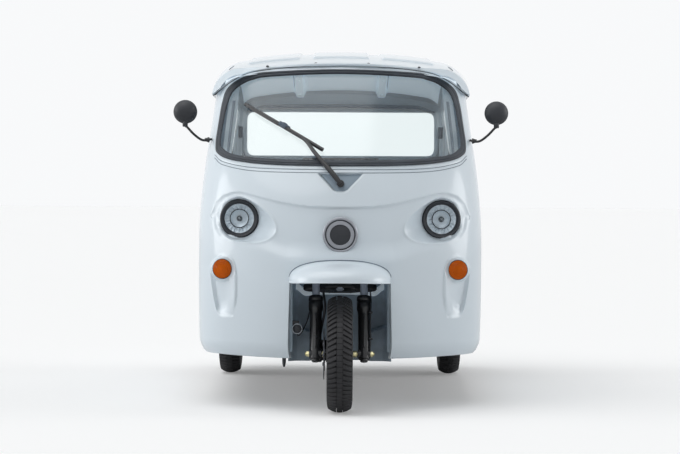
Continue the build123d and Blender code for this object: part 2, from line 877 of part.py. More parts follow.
caliper_corner_r = 14
caliper_body = block(disc_x - 32, disc_x + 14, 48, 118, axle_z - 45, axle_z + 62, caliper_corner_r)
caliper_arm = block(-leg_x - 12, disc_x - 20, 10, 60, axle_z - 15, axle_z + 55)
slot_half = 7
disc_slot = block(disc_x - slot_half, disc_x + slot_half, -big, disc_r + 4, 0, big)
lug_clearance = rod_x(-big, big, 0, axle_z, lug_r + 3)
brake_caliper = cut(join(caliper_body, caliper_arm), disc_slot, fork_leg(-1), lug_clearance)
save(brake_caliper, "brake_caliper")

bar_r = 12
bar_bend_r = 45
bar_below_top = 12
grip_r = 17
grip_length = 118
grip_past_end = 6
BarPoint = namedtuple("BarPoint", "x back up")
bar_half = [BarPoint(80, 4, 2), BarPoint(170, 80, 42), BarPoint(320, 150, 52)]
bar_centre = Vector(*on_stem(stem_top - bar_below_top))


def bar_point(k, p):
    return (bar_centre.X + k * p.x, bar_centre.Y + p.back, bar_centre.Z + p.up)


bar_points = [bar_point(-1, p) for p in reversed(bar_half)] + [bar_point(1, p) for p in bar_half]
bar_tube = bent_rod(bar_points, bar_bend_r, bar_r)
save(cut(bar_tube, rod(on_stem(crown_high), on_stem(stem_top), stem_r)), "handlebar")


def grip(k):
    start = Vector(*bar_point(k, bar_half[-2]))
    end = Vector(*bar_point(k, bar_half[-1]))
    run = (end - start).normalized()
    return cut(rod(tuple(end - run * grip_length), tuple(end + run * grip_past_end), grip_r), bar_tube)


save(join(*each_side(grip)), "handlebar_grips")

# ---------------------------------------------------------------- inside: dash, bulkhead and seats
dash_back_u = 210
dash_t = 20
dash_shelf_t = 30
dash_top = 1035
dash_low = 820
hump_half = 165
hump_u = (110, 235)
hump_top = 1097
hump_corner_r = 30
hump_clearance = 8
dash_sheets = join(
    block(-big, big, nose_span[0], dash_back_u, dash_top - dash_shelf_t, dash_top),
    block(-big, big, dash_back_u - dash_t, dash_back_u, dash_low, dash_top),
)
hump = block(-hump_half, hump_half, *hump_u, dash_top - 10, hump_top, hump_corner_r)
instrument_hump = common(hump, body_form(wall + hump_clearance))
dashboard = join(common(dash_sheets, body_inner), instrument_hump)
save(dashboard, "dashboard")

seat_half = 235
seat_u = (760, post_u + 20)
seat_base_top = 640
seat_base_corner_r = 25
cushion_top = 725
cushion_corner_r = 40
cushion_overhang = 15
cushion_gap = 20
bulkhead_t = 20
backrest_half = 215
backrest_t = 62
backrest_z = (745, 1040)
bulkhead_back_u = seat_u[1] + bulkhead_t
bulkhead_top = 900
save(block(-seat_half, seat_half, *seat_u, floor_top, seat_base_top, seat_base_corner_r), "driver_seat_base")
driver_cushion = block(
    -seat_half, seat_half, seat_u[0] - cushion_overhang, seat_u[1] - cushion_gap,
    seat_base_top + fit_gap, cushion_top, cushion_corner_r,
)
save(driver_cushion, "driver_cushion")
backrest_u = (seat_u[1] - backrest_t, seat_u[1] - fit_gap)
driver_backrest = block(-backrest_half, backrest_half, *backrest_u, *backrest_z, seat_base_corner_r)
save(driver_backrest, "driver_backrest")

grab_half = 430
grab_r = 14
grab_bend_r = 60
grab_top_z = 1060
grab_y = y_at((seat_u[1] + bulkhead_back_u) / 2)
grab_foot_z = bulkhead_top - 5
grab_rail = bent_rod(
    [
        (-grab_half, grab_y, grab_foot_z), (-grab_half, grab_y, grab_top_z),
        (grab_half, grab_y, grab_top_z), (grab_half, grab_y, grab_foot_z),
    ],
    grab_bend_r,
    grab_r,
)
bulkhead_sheet = block(-big, big, seat_u[1], bulkhead_back_u, floor_top, bulkhead_top)
save(join(common(body_form(post_depth), bulkhead_sheet), grab_rail), "bulkhead")

bench_sheets = join(
    block(-big, big, bench_u, bench_back_u, bench_z, bench_top),
    block(-big, big, bench_u, bench_u + sheet_t, floor_top, bench_top),
    block(-big, big, bench_back_u, bench_back_u + sheet_t, bench_z, bench_back_top),
)
save(cut(common(bench_sheets, body_inner), *rails), "rear_bench")

bench_cushion_half = 560
bench_cushion_top = 705
bench_cushion_gap = 90
bench_backrest_foot_t = 110
bench_backrest_top_t = 60
bench_backrest_top = 1112
bench_cushion_u = (bench_u - 20, bench_back_u - bench_cushion_gap)
passenger_cushion = block(
    -bench_cushion_half, bench_cushion_half, *bench_cushion_u,
    bench_top + fit_gap, bench_cushion_top, cushion_corner_r,
)
save(passenger_cushion, "passenger_cushion")
backrest_profile = [
    (bench_back_u - bench_backrest_foot_t, bench_cushion_top + fit_gap),
    (bench_back_u - fit_gap, bench_cushion_top + fit_gap),
    (bench_back_u - fit_gap, bench_backrest_top),
    (bench_back_u - bench_backrest_top_t, bench_backrest_top),
]
save(side_prism(backrest_profile, -bench_cushion_half, bench_cushion_half), "passenger_backrest")

# ---------------------------------------------------------------- horn beside the front wheel
horn_x = -181
horn_u = (16, 50)
horn_z = 354
horn_r = 38
bracket_u = 34
bracket_drop = 15
bracket_rise = 60
bracket_z = (horn_z - bracket_drop, horn_z + bracket_rise)
horn_bracket = block(-well_half, horn_x - horn_r / 2, bracket_u, bracket_u + liner_t, *bracket_z)
horn = join(rod_y(horn_x, horn_z, *horn_u, horn_r), horn_bracket)
save(horn, "horn")
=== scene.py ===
"""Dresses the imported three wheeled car: finishes, shells and soft parts, a plain studio and the camera."""
import json
from collections import namedtuple
from math import atan2, cos, pi, radians, sin, sqrt

import bmesh
import bpy
import numpy as np
from mathutils.bvhtree import BVHTree
from mathutils import Matrix, Vector


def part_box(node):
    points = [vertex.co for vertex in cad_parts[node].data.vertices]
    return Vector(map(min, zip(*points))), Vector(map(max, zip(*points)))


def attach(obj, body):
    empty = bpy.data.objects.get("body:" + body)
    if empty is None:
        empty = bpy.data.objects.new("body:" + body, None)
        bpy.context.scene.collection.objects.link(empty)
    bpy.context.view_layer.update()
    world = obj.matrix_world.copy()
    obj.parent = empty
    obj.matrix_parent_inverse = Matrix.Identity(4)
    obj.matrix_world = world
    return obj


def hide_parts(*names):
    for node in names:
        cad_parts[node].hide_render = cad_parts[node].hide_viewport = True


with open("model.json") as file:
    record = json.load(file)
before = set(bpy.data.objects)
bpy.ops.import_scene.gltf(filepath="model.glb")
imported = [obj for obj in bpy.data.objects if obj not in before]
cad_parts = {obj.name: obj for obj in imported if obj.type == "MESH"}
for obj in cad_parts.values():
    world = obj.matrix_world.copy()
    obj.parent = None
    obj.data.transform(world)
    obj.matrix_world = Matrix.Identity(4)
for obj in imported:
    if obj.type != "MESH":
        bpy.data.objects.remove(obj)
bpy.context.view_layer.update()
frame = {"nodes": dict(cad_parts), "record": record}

# Lengths are in metres, apart from the tables and profiles marked as millimetres.
# The car looks along -Y, and "u" is the distance behind the front axle.
NOSE_TO_MID = 1.1335
AXLE_Z = 0.2515
WHEELBASE = 2.05
REAR_TRACK_HALF = 0.573
SIDES = ((1, "left"), (-1, "right"))


def y_at(u):
    return u - NOSE_TO_MID


def at(x, u, z):
    """A point of the shared frame from its x, its distance u behind the front axle and its height."""
    return (x, y_at(u), z)


def mm(points):
    """A table in millimetres as a list of tuples in metres."""
    return [tuple(v / 1000 for v in point) for point in points]


# ---------------------------------------------------------------- materials
def linear(red, green, blue):
    """A linear colour from sRGB numbers out of 255."""
    def one(v):
        v = v / 255
        return v / 12.92 if v <= 0.04045 else ((v + 0.055) / 1.055) ** 2.4
    return (one(red), one(green), one(blue), 1.0)


class Nodes:
    """A node tree, with short ways to add a node and to feed its sockets with a value or an output."""

    def __init__(self, owner):
        owner.use_nodes = True
        self.tree = owner.node_tree

    def node(self, kind, feeds=(), **values):
        made = self.tree.nodes.new("ShaderNode" + kind)
        for key, value in values.items():
            setattr(made, key, value)
        for key, value in dict(feeds).items():
            self.feed(made.inputs[key], value)
        return made

    def feed(self, socket, value):
        if isinstance(value, bpy.types.NodeSocket):
            self.tree.links.new(value, socket)
        else:
            socket.default_value = value

    def blend_to(self, surface, factor, first, second):
        """Ends in a Mix Shader of two shaders on the output node's surface."""
        mixed = self.node("MixShader", {"Fac": factor, 1: first, 2: second})
        self.feed(self.tree.nodes[surface].inputs["Surface"], mixed.outputs["Shader"])


class Shader(Nodes):
    """One material around a Principled BSDF; values fill its sockets."""

    def __init__(self, name, **values):
        self.material = bpy.data.materials.new(name)
        super().__init__(self.material)
        self.bsdf = self.tree.nodes["Principled BSDF"]
        for socket, value in values.items():
            self.set(socket.replace("_", " "), value)

    def set(self, socket, value):
        self.feed(self.bsdf.inputs[socket], value)

    def noise(self, size, detail=3.0, roughness=0.5):
        """Noise over object coordinates, whose largest blobs are about size metres across."""
        mapping = self.node("Mapping", {"Vector": self.node("TexCoord").outputs["Object"]})
        feeds = {"Scale": 1 / size, "Detail": detail, "Roughness": roughness}
        return self.node("TexNoise", feeds | {"Vector": mapping.outputs["Vector"]}).outputs["Fac"]

    def ramp(self, source, low, high, from_low=0.0, from_high=1.0):
        """The source's span from_low to from_high, mapped to low and high."""
        feeds = {"From Min": from_low, "From Max": from_high, "To Min": low, "To Max": high, "Value": source}
        return self.node("MapRange", feeds).outputs["Result"]

    def mix(self, factor, first, second):
        """Two colours mixed by a factor output."""
        mixed = self.node("Mix", data_type="RGBA")
        for key, colour in (("A", first), ("B", second)):
            self.feed(next(s for s in mixed.inputs if s.name == key and s.type == "RGBA"), colour)
        self.feed(mixed.inputs["Factor"], factor)
        return next(s for s in mixed.outputs if s.type == "RGBA")

    def bump(self, height, distance, strength):
        made = self.node("Bump", {"Distance": distance, "Strength": strength, "Height": height})
        self.set("Normal", made.outputs["Normal"])


def toned(colour, change):
    """A colour whose three channels pass through change."""
    return tuple(change(c) for c in colour[:3]) + (1.0,)


def painted(name, colour, roughness=0.32, coat=0.6):
    """Gloss paint: a slight drift in tone, faint orange peel under a clear coat."""
    shader = Shader(name, Roughness=roughness, Coat_Weight=coat, Coat_Roughness=0.08)
    drift = shader.ramp(shader.noise(0.5, 2), 0, 1, 0.35, 0.65)
    shader.set("Base Color", shader.mix(drift, toned(colour, lambda c: c * 0.965), colour))
    shader.bump(shader.noise(0.006, 2), 0.00012, 0.25)
    return shader.material


def plastic(name, colour, roughness=0.5, grain=0.0012, depth=0.00012, shine=0.5, wear=1.35, glow=0.0):
    """Moulded plastic with a fine grain; wear lightens its patches, and glow is painted light: an emission
    that brightens a part that is no lamp.
    """
    shader = Shader(name, Specular_IOR_Level=shine, Emission_Color=colour, Emission_Strength=glow)
    fine = shader.noise(grain, 4, 0.6)
    shader.set("Roughness", shader.ramp(fine, roughness - 0.08, roughness + 0.08))
    worn = toned(colour, lambda c: min(1, c * wear + 0.004 * (wear > 1.1)))
    shader.set("Base Color", shader.mix(shader.ramp(shader.noise(0.09, 5), 0, 1, 0.45, 0.7), colour, worn))
    shader.bump(fine, depth, 0.6)
    return shader.material


def steel(name, colour, roughness=0.42, metallic=0.0, grain=0.0025, dusty=0.15):
    """Painted or plated steel: patches of tone, a light roughness variation and a fine bump."""
    shader = Shader(name, Metallic=metallic)
    patches = shader.noise(0.05, 5, 0.6)
    dull = toned(colour, lambda c: c * (1 - dusty) + 0.25 * dusty * (0.3 if metallic < 0.5 else 0.8))
    shader.set("Base Color", shader.mix(shader.ramp(patches, 0, 1, 0.4, 0.7), colour, dull))
    shader.set("Roughness", shader.ramp(patches, roughness - 0.1, roughness + 0.12))
    shader.bump(shader.noise(grain, 3), 0.00015, 0.4)
    return shader.material


def clear_glass(name, tint=(0.97, 0.99, 0.99, 1.0)):
    """Thin window glass: it lets light straight through and keeps a soft reflection that grows at a slant."""
    material = bpy.data.materials.new(name)
    made = Nodes(material)
    made.tree.nodes.remove(made.tree.nodes["Principled BSDF"])
    through = made.node("BsdfTransparent", {"Color": tint})
    gloss = made.node("BsdfGlossy", {"Roughness": 0.16})
    facing = made.node("LayerWeight", {"Blend": 0.12}).outputs["Facing"]
    shine = made.node("MapRange", {"To Min": 0.004, "To Max": 0.45, "Value": facing}).outputs["Result"]
    made.blend_to("Material Output", shine, through.outputs["BSDF"], gloss.outputs["BSDF"])
    return material


paint = painted("body_paint", linear(214, 225, 233))
trim_black = plastic("trim_black", linear(34, 37, 43))
seal_rubber = plastic("seal_rubber", linear(44, 50, 58), 0.55, 0.002)
glass = clear_glass("window_glass")
black_paint = steel("black_steel", linear(30, 31, 34))
floor_paint = steel("floor_steel", linear(96, 100, 104), 0.6)
zinc = steel("zinc_plate", linear(196, 182, 138), 0.34, 1.0)
rim_paint = steel("rim_steel", linear(62, 64, 68), 0.4)
rubber = plastic("tyre_rubber", linear(30, 30, 33), 0.72, 0.0018, 0.0002)
amber = plastic("amber_lens", linear(186, 84, 0), 0.22, 0.004, 0.0001, 0.1, 1.2)
red_lens = plastic("red_lens", linear(150, 16, 16), 0.18, 0.01, 0.00002)
vinyl = plastic("seat_vinyl", linear(58, 60, 66), 0.5, 0.0022, 0.0003)
chrome = steel("lamp_chrome", linear(214, 220, 226), 0.34, 0.35, 0.004, 0.05)
satin_metal = steel("satin_metal", linear(150, 153, 160), 0.38, 0.9, 0.002, 0.1)
bulb_finish = steel("bulb_finish", linear(120, 122, 124), 0.2, 0.8, 0.004, 0.05)
lamp_glass = clear_glass("lamp_glass", (0.95, 0.97, 0.98, 1.0))
gloss_black = steel("gloss_black", linear(26, 27, 31), 0.3)
yellow_zinc = steel("yellow_zinc", linear(216, 208, 162), 0.3, 1.0)
steel_disc = steel("brake_steel", linear(84, 86, 92), 0.38, 0.8)
liner_grey = plastic("liner_grey", linear(150, 164, 176), 0.55)
liner_light = plastic("liner_light", linear(176, 188, 198), 0.5)
piping = plastic("seat_piping", linear(150, 158, 166), 0.45)
thread = plastic("seat_thread", linear(190, 196, 202), 0.7, 0.0006, 0.0002)
liner_return = plastic("liner_return", linear(150, 166, 178), 0.5)
seam_grey = plastic("seam_grey", linear(112, 124, 136), 0.6)
stanchion_grey = steel("stanchion_grey", linear(206, 214, 230), 0.35, 0.25)
header_grey = plastic("header_grey", linear(92, 104, 118), 0.6, wear=1.06)
post_grey = plastic("post_grey", linear(136, 148, 162), 0.5, wear=1.06)
pit_grey = plastic("pit_grey", linear(140, 156, 170), 0.5, wear=1.06)
# The ceiling's finish glows: painted light that brightens the ceiling panels, their channels and the bar
# across the wheel well.
headliner_painted_glow = plastic("headliner_painted_glow", linear(226, 240, 250), 0.6, wear=1.02, glow=0.17)

# Each slot's finishes. A CAD node that stays visible gets the first one of its slot.
SLOT_FINISHES = {
    "paint": (paint, liner_return, liner_light, post_grey, headliner_painted_glow),
    "black_plastic": (trim_black, header_grey, pit_grey),
    "rubber": (seal_rubber, seam_grey),
    "glass": (glass, lamp_glass),
    "amber_plastic": (amber,),
    "red_plastic": (red_lens,),
    "black_steel": (black_paint, gloss_black),
    "floor_steel": (floor_paint, liner_grey),
    "zinc_steel": (zinc, chrome, satin_metal, bulb_finish, yellow_zinc, steel_disc, stanchion_grey),
    "rim_steel": (rim_paint,),
    "tyre": (rubber,),
    "seat_cover": (vinyl, piping, thread),
}
for part in frame["record"]["subparts"]:
    node_materials = frame["nodes"][part["node"]].data.materials
    node_materials.clear()
    node_materials.append(SLOT_FINISHES[part["material_slot"]][0])


# ---------------------------------------------------------------- the body's outer surface
PlanSection = namedtuple("PlanSection", "z nose_u bow_x side_x tail_x tail_u")
PLAN_SECTIONS = [
    PlanSection(0.15, -0.012, 0.5, 0.622, 0.68, 2.445),
    PlanSection(0.3, -0.032, 0.5, 0.628, 0.686, 2.455),
    PlanSection(0.65, -0.058, 0.5, 0.632, 0.69, 2.462),
    PlanSection(0.85, -0.035, 0.5, 0.628, 0.684, 2.46),
    PlanSection(1.058, 0.045, 0.48, 0.611, 0.64, 2.445),
    PlanSection(1.4, 0.268, 0.44, 0.572, 0.565, 2.4),
    PlanSection(1.7, 0.463, 0.41, 0.535, 0.52, 2.35),
]
NOSE_BOW_R = 0.83
TAIL_CORNER_R = 0.14


def natural_spline(knots, values):
    """The natural cubic through the knots, as a function of an array."""
    knots, values = np.asarray(knots, float), np.asarray(values, float)
    step, rise = np.diff(knots), np.diff(values)
    count = len(knots)
    matrix, right = np.eye(count), np.zeros(count)
    for i in range(1, count - 1):
        matrix[i, i - 1 : i + 2] = step[i - 1], 2 * (step[i - 1] + step[i]), step[i]
        right[i] = 6 * (rise[i] / step[i] - rise[i - 1] / step[i - 1])
    bend = np.linalg.solve(matrix, right)

    def curve(at):
        at = np.asarray(at, float)
        i = np.clip(np.searchsorted(knots, at) - 1, 0, count - 2)
        a, b, h = knots[i + 1] - at, at - knots[i], step[i]
        cubic = (bend[i] * (a**3 / h - a * h) + bend[i + 1] * (b**3 / h - b * h)) / 6
        return cubic + (values[i] * a + values[i + 1] * b) / h

    return curve


plan_curves = {
    key: natural_spline([s.z for s in PLAN_SECTIONS], [getattr(s, key) for s in PLAN_SECTIONS])
    for key in PlanSection._fields[1:]
}


class Plan:
    """The body's plan curve at each height of an array: arcs of length s measured from the nose."""

    def __init__(self, z):
        self.nose_u, self.bow_x, self.side_x, self.tail_x, self.tail_u = (
            plan_curves[key](z) for key in PlanSection._fields[1:]
        )
        self.lean = np.arcsin(self.bow_x / NOSE_BOW_R)
        self.bow_u = self.nose_u + NOSE_BOW_R * (1 - np.cos(self.lean))
        self.cheek_r = (self.side_x - self.bow_x) / (1 - np.sin(self.lean))
        self.side_u = self.bow_u + self.cheek_r * np.cos(self.lean)
        self.bow_length = NOSE_BOW_R * self.lean
        self.cheek_length = self.cheek_r * (pi / 2 - self.lean)
        run_x, run_u = self.tail_x - self.side_x, self.tail_u - TAIL_CORNER_R - self.side_u
        self.bend = 2 * run_x / (run_x**2 + run_u**2)

    def length_to_x(self, x):
        """The arc length at a half width x, up to the cheek's end."""
        on_bow = NOSE_BOW_R * np.arcsin(np.clip(x / NOSE_BOW_R, 0, 1))
        turn = np.arcsin(np.clip(np.sin(self.lean) + (x - self.bow_x) / self.cheek_r, 0, 1))
        return np.where(x <= self.bow_x, on_bow, self.bow_length + self.cheek_r * (turn - self.lean))

    def length_to_u(self, u):
        """The arc length at a place u on the side, behind the cheek."""
        return self.bow_length + self.cheek_length + (u - self.side_u)

    def point(self, s):
        """Half width, u and the outward normal's angle from straight ahead, at arc length s."""
        angle = s / NOSE_BOW_R
        x, u = NOSE_BOW_R * np.sin(angle), self.nose_u + NOSE_BOW_R * (1 - np.cos(angle))
        turn = self.lean + (s - self.bow_length) / self.cheek_r
        on_cheek = s > self.bow_length
        x = np.where(on_cheek, self.bow_x + self.cheek_r * (np.sin(turn) - np.sin(self.lean)), x)
        u = np.where(on_cheek, self.bow_u + self.cheek_r * (np.cos(self.lean) - np.cos(turn)), u)
        angle = np.where(on_cheek, turn, angle)
        along = s - self.bow_length - self.cheek_length
        on_side = along > 0
        x = np.where(on_side, self.side_x + self.bend * along**2 / 2, x)
        u = np.where(on_side, self.side_u + along, u)
        return x, u, np.where(on_side, pi / 2 - self.bend * along, angle)


def front_u(x, z):
    """The place u of the nose's surface at a half width x within the cheeks."""
    plan = Plan(z)
    return plan.point(plan.length_to_x(np.abs(x)))[1]


# ---------------------------------------------------------------- mesh helpers
def piece(name, material, *shapes, sharp=40, **rides):
    """A mesh object of (vertices, faces) pairs, smooth up to sharp degrees; rides is for dressed()."""
    vertices, faces = joined(*shapes)
    mesh = bpy.data.meshes.new(name)
    mesh.from_pydata([tuple(v) for v in vertices], [], [tuple(f) for f in faces])
    mesh.validate()
    return dressed(mesh, name, material, sharp, **rides)


def dressed(mesh, name, material, sharp, body="body", slot=None, replaces=()):
    """Gives a mesh its object, finish, shading and body, and hides the nodes that it stands for; slot is not
    used.
    """
    made = bmesh.new()
    made.from_mesh(mesh)
    bmesh.ops.recalc_face_normals(made, faces=made.faces)
    made.to_mesh(mesh)
    made.free()
    mesh.polygons.foreach_set("use_smooth", [True] * len(mesh.polygons))
    mesh.set_sharp_from_angle(angle=radians(sharp))
    mesh.materials.append(material)
    made = bpy.data.objects.new(name, mesh)
    bpy.context.collection.objects.link(made)
    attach(made, body)
    if replaces:
        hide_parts(*replaces)
    return made


def catmull_rom(points, per_span):
    """Smooth spans through a run of points, without its first and last one."""
    points = np.asarray(points, float)
    t = np.linspace(0, 1, per_span, endpoint=False)[None, :, None]
    p0, p1, p2, p3 = (points[i : len(points) - 3 + i, None] for i in range(4))
    square, cube = 2 * p0 - 5 * p1 + 4 * p2 - p3, 3 * p1 - p0 - 3 * p2 + p3
    return (0.5 * (2 * p1 + (p2 - p0) * t + square * t**2 + cube * t**3)).reshape(-1, points.shape[1])


def rounded_loop(points, per_span=10):
    """A smooth closed curve through a few points."""
    return catmull_rom([points[-1], *points, points[0], points[1]], per_span)


def rounded_line(points, per_span=8):
    """A smooth open curve through a few points."""
    points = np.asarray(points, float)
    padded = np.vstack([2 * points[0] - points[1], points, 2 * points[-1] - points[-2]])
    return np.vstack([catmull_rom(padded, per_span), points[-1:]])


def distance_to(x, z, line, closed=False):
    """The distance from each point to a polyline in X and Z."""
    line = np.asarray(line, float)
    starts, ends = (line, np.roll(line, -1, axis=0)) if closed else (line[:-1], line[1:])
    best = np.full(x.shape, 1e9)
    for (ax, az), (bx, bz) in zip(starts, ends):
        run_x, run_z = bx - ax, bz - az
        t = np.clip(((x - ax) * run_x + (z - az) * run_z) / (run_x**2 + run_z**2 + 1e-12), 0, 1)
        best = np.minimum(best, np.hypot(x - ax - t * run_x, z - az - t * run_z))
    return best


def inside(x, z, loop):
    """Which points lie inside a closed loop."""
    hit = np.zeros(x.shape, bool)
    for (ax, az), (bx, bz) in zip(loop, np.roll(loop, -1, axis=0)):
        if az != bz:
            hit ^= ((az > z) != (bz > z)) & (x < (bx - ax) * (z - az) / (bz - az) + ax)
    return hit


def smooth(t):
    t = np.clip(t, 0, 1)
    return t * t * (3 - 2 * t)


# ---------------------------------------------------------------- the nose: its features in X and Z
LAMP_X, LAMP_Z = 0.4385, 0.8355
LAMP_RING_R = 0.0845
LAMP_FRONT_U = 0.155
DISC_X, DISC_Z = 0.5125, 0.6125
BADGE_Z = 0.765
# Outlines in millimetres: half ones from the centre line outwards, the lamp's scoop and pod closed.
BELT = mm([(0, 1045), (350, 1051), (511, 1078), (560, 1112), (800, 1112)])
BROW = mm([(0, 884), (52, 884), (137, 887), (200, 895), (264, 906), (330, 922), (394, 939), (431, 948),
           (468.5, 948), (514, 935), (549, 903), (569, 851)])
CHIN = mm([(567, 820), (555, 781.5), (527.5, 747.5), (482.5, 724.5), (437.5, 712.5), (377, 694), (325, 675),
           (277, 658.5), (238.5, 646.5), (120, 640), (0, 640)])
SCOOP = mm([(532, 860), (511.5, 899), (468.5, 922), (431, 926.5), (377, 903), (334, 873.5), (299, 839),
            (279, 801), (281.5, 771), (307.5, 746), (351, 732), (411, 730), (468.5, 737.2), (514, 766),
            (534.5, 808)])
POD = mm([(568, 610), (563, 640), (545, 668), (520, 681), (490, 676), (463, 650), (451, 610), (448, 560),
          (449, 500), (456, 445), (472, 400), (500, 398), (525, 408), (543, 440), (556, 500), (565, 560)])
PIT = mm([(-88.5, 1026.2), (100, 1028.8), (30, 955), (14, 949), (-14, 949), (-26, 957)])
WELL_HALF_LOW, WELL_HALF_HIGH = 0.2255, 0.2175
WELL_TOP = 0.562
COWL_LOW = 0.228
COWL_BACK_U = 0.64
COWL_WALL = 0.028


def mask_depth(x, z):
    """The band between brow and chin: a crisp step under the brow that fades out softly towards the chin."""
    outline = np.array(BROW + CHIN + [(-a, b) for a, b in (CHIN[::-1] + BROW[::-1])])
    to_brow = distance_to(x, z, BROW)
    to_chin = distance_to(x, z, CHIN)
    within = inside(x, z, outline)
    outer = smooth((x - 0.43) / 0.12)
    step = np.clip(to_brow / (0.01 + 0.02 * outer), 0, 1)
    shoulder = smooth(to_chin / (0.095 - 0.058 * outer))
    middle = smooth((x - 0.1) / 0.16)
    depth = 0.009 + (0.055 + 0.045 * middle) * np.clip(0.9 - z, 0, 0.3)
    return np.where(within, depth * (1 - (1 - step) ** 2) * shoulder, 0)


def scoop_depth(x, z, depth, base_u):
    """The lamp's scoop, from its rim with a low lip to the lamp's ring, which faces straight ahead."""
    loop = rounded_loop(SCOOP)
    to_rim = distance_to(x, z, loop, closed=True)
    to_ring = np.hypot(x - LAMP_X - 0.004, z - LAMP_Z + 0.004) - LAMP_RING_R
    slope = np.clip(to_rim / (to_rim + np.maximum(to_ring, 0) + 1e-6), 0, 1)
    ring_depth = LAMP_FRONT_U + 0.006 - base_u
    scooped = depth + (ring_depth - depth) * (0.35 * slope + 0.65 * slope**1.6)
    scooped = np.where(to_ring < -0.004, ring_depth + 0.03, scooped)
    return np.where(inside(x, z, loop), scooped, depth) - 0.003 * np.exp(-((to_rim / 0.006) ** 2))


def pod_depth(x, z, base_u):
    """The indicator's pod: a raised inner edge, a hollow below the lamp and a flat seat under it."""
    loop = rounded_loop(POD)
    foot = min(i for i, p in enumerate(loop) if p[1] < 0.41)
    outer = distance_to(x, z, [*loop[foot:], *(p for p in loop[:foot] if p[0] > 0.53)])
    inner = distance_to(x, z, [p for p in loop if p[0] < 0.5 and p[1] > 0.42])
    across = inner / (inner + outer + 1e-6)
    tall = smooth((0.668 - z) / 0.07) * smooth((z - 0.398) / (0.036 + 0.1 * (1 - across)))
    crest = 0.008 * np.exp(-(((inner - 0.012) / 0.011) ** 2))
    crest = crest * smooth((0.69 - z) / 0.05) * smooth((z - 0.41) / 0.08)
    hollow = 0.023 * smooth((across - 0.04) / 0.66) * np.clip((1 - across) / 0.16, 0, 1) ** 0.8 * tall
    seat_u = front_u(DISC_X - 0.012, DISC_Z) + 0.35 * (base_u - front_u(DISC_X, DISC_Z))
    seat = smooth((0.058 - np.hypot(x - DISC_X, z - DISC_Z)) / 0.01)
    pod = (hollow - crest) * (1 - seat) + (seat_u - base_u) * seat
    return np.where(inside(x, z, loop), pod, 0)


def pit_depth(x, z):
    """The wiper's pit: a flat floor with steep sides."""
    steep = np.clip(distance_to(x, z, PIT, closed=True) / 0.006, 0, 1)
    return np.where(inside(x, z, PIT), 0.02 * steep, 0)


def nose_depth(x, z, base_u):
    """How far behind the plain surface the nose lies at each point of its right half."""
    depth = mask_depth(x, z)
    near = (np.abs(x - 0.41) < 0.15) & (np.abs(z - 0.83) < 0.12)
    depth[near] = scoop_depth(x[near], z[near], depth[near], base_u[near])
    near = (np.abs(x - 0.508) < 0.085) & (np.abs(z - 0.54) < 0.17)
    depth[near] += pod_depth(x[near], z[near], base_u[near])
    near = (np.abs(x) < 0.12) & (np.abs(z - 0.99) < 0.06)
    depth[near] += pit_depth(x[near], z[near])
    return depth


def tuck(z):
    """How far the skirt is drawn in near its lower edge."""
    return 0.034 * np.clip((0.3 - z) / 0.075, 0, 1) ** 2


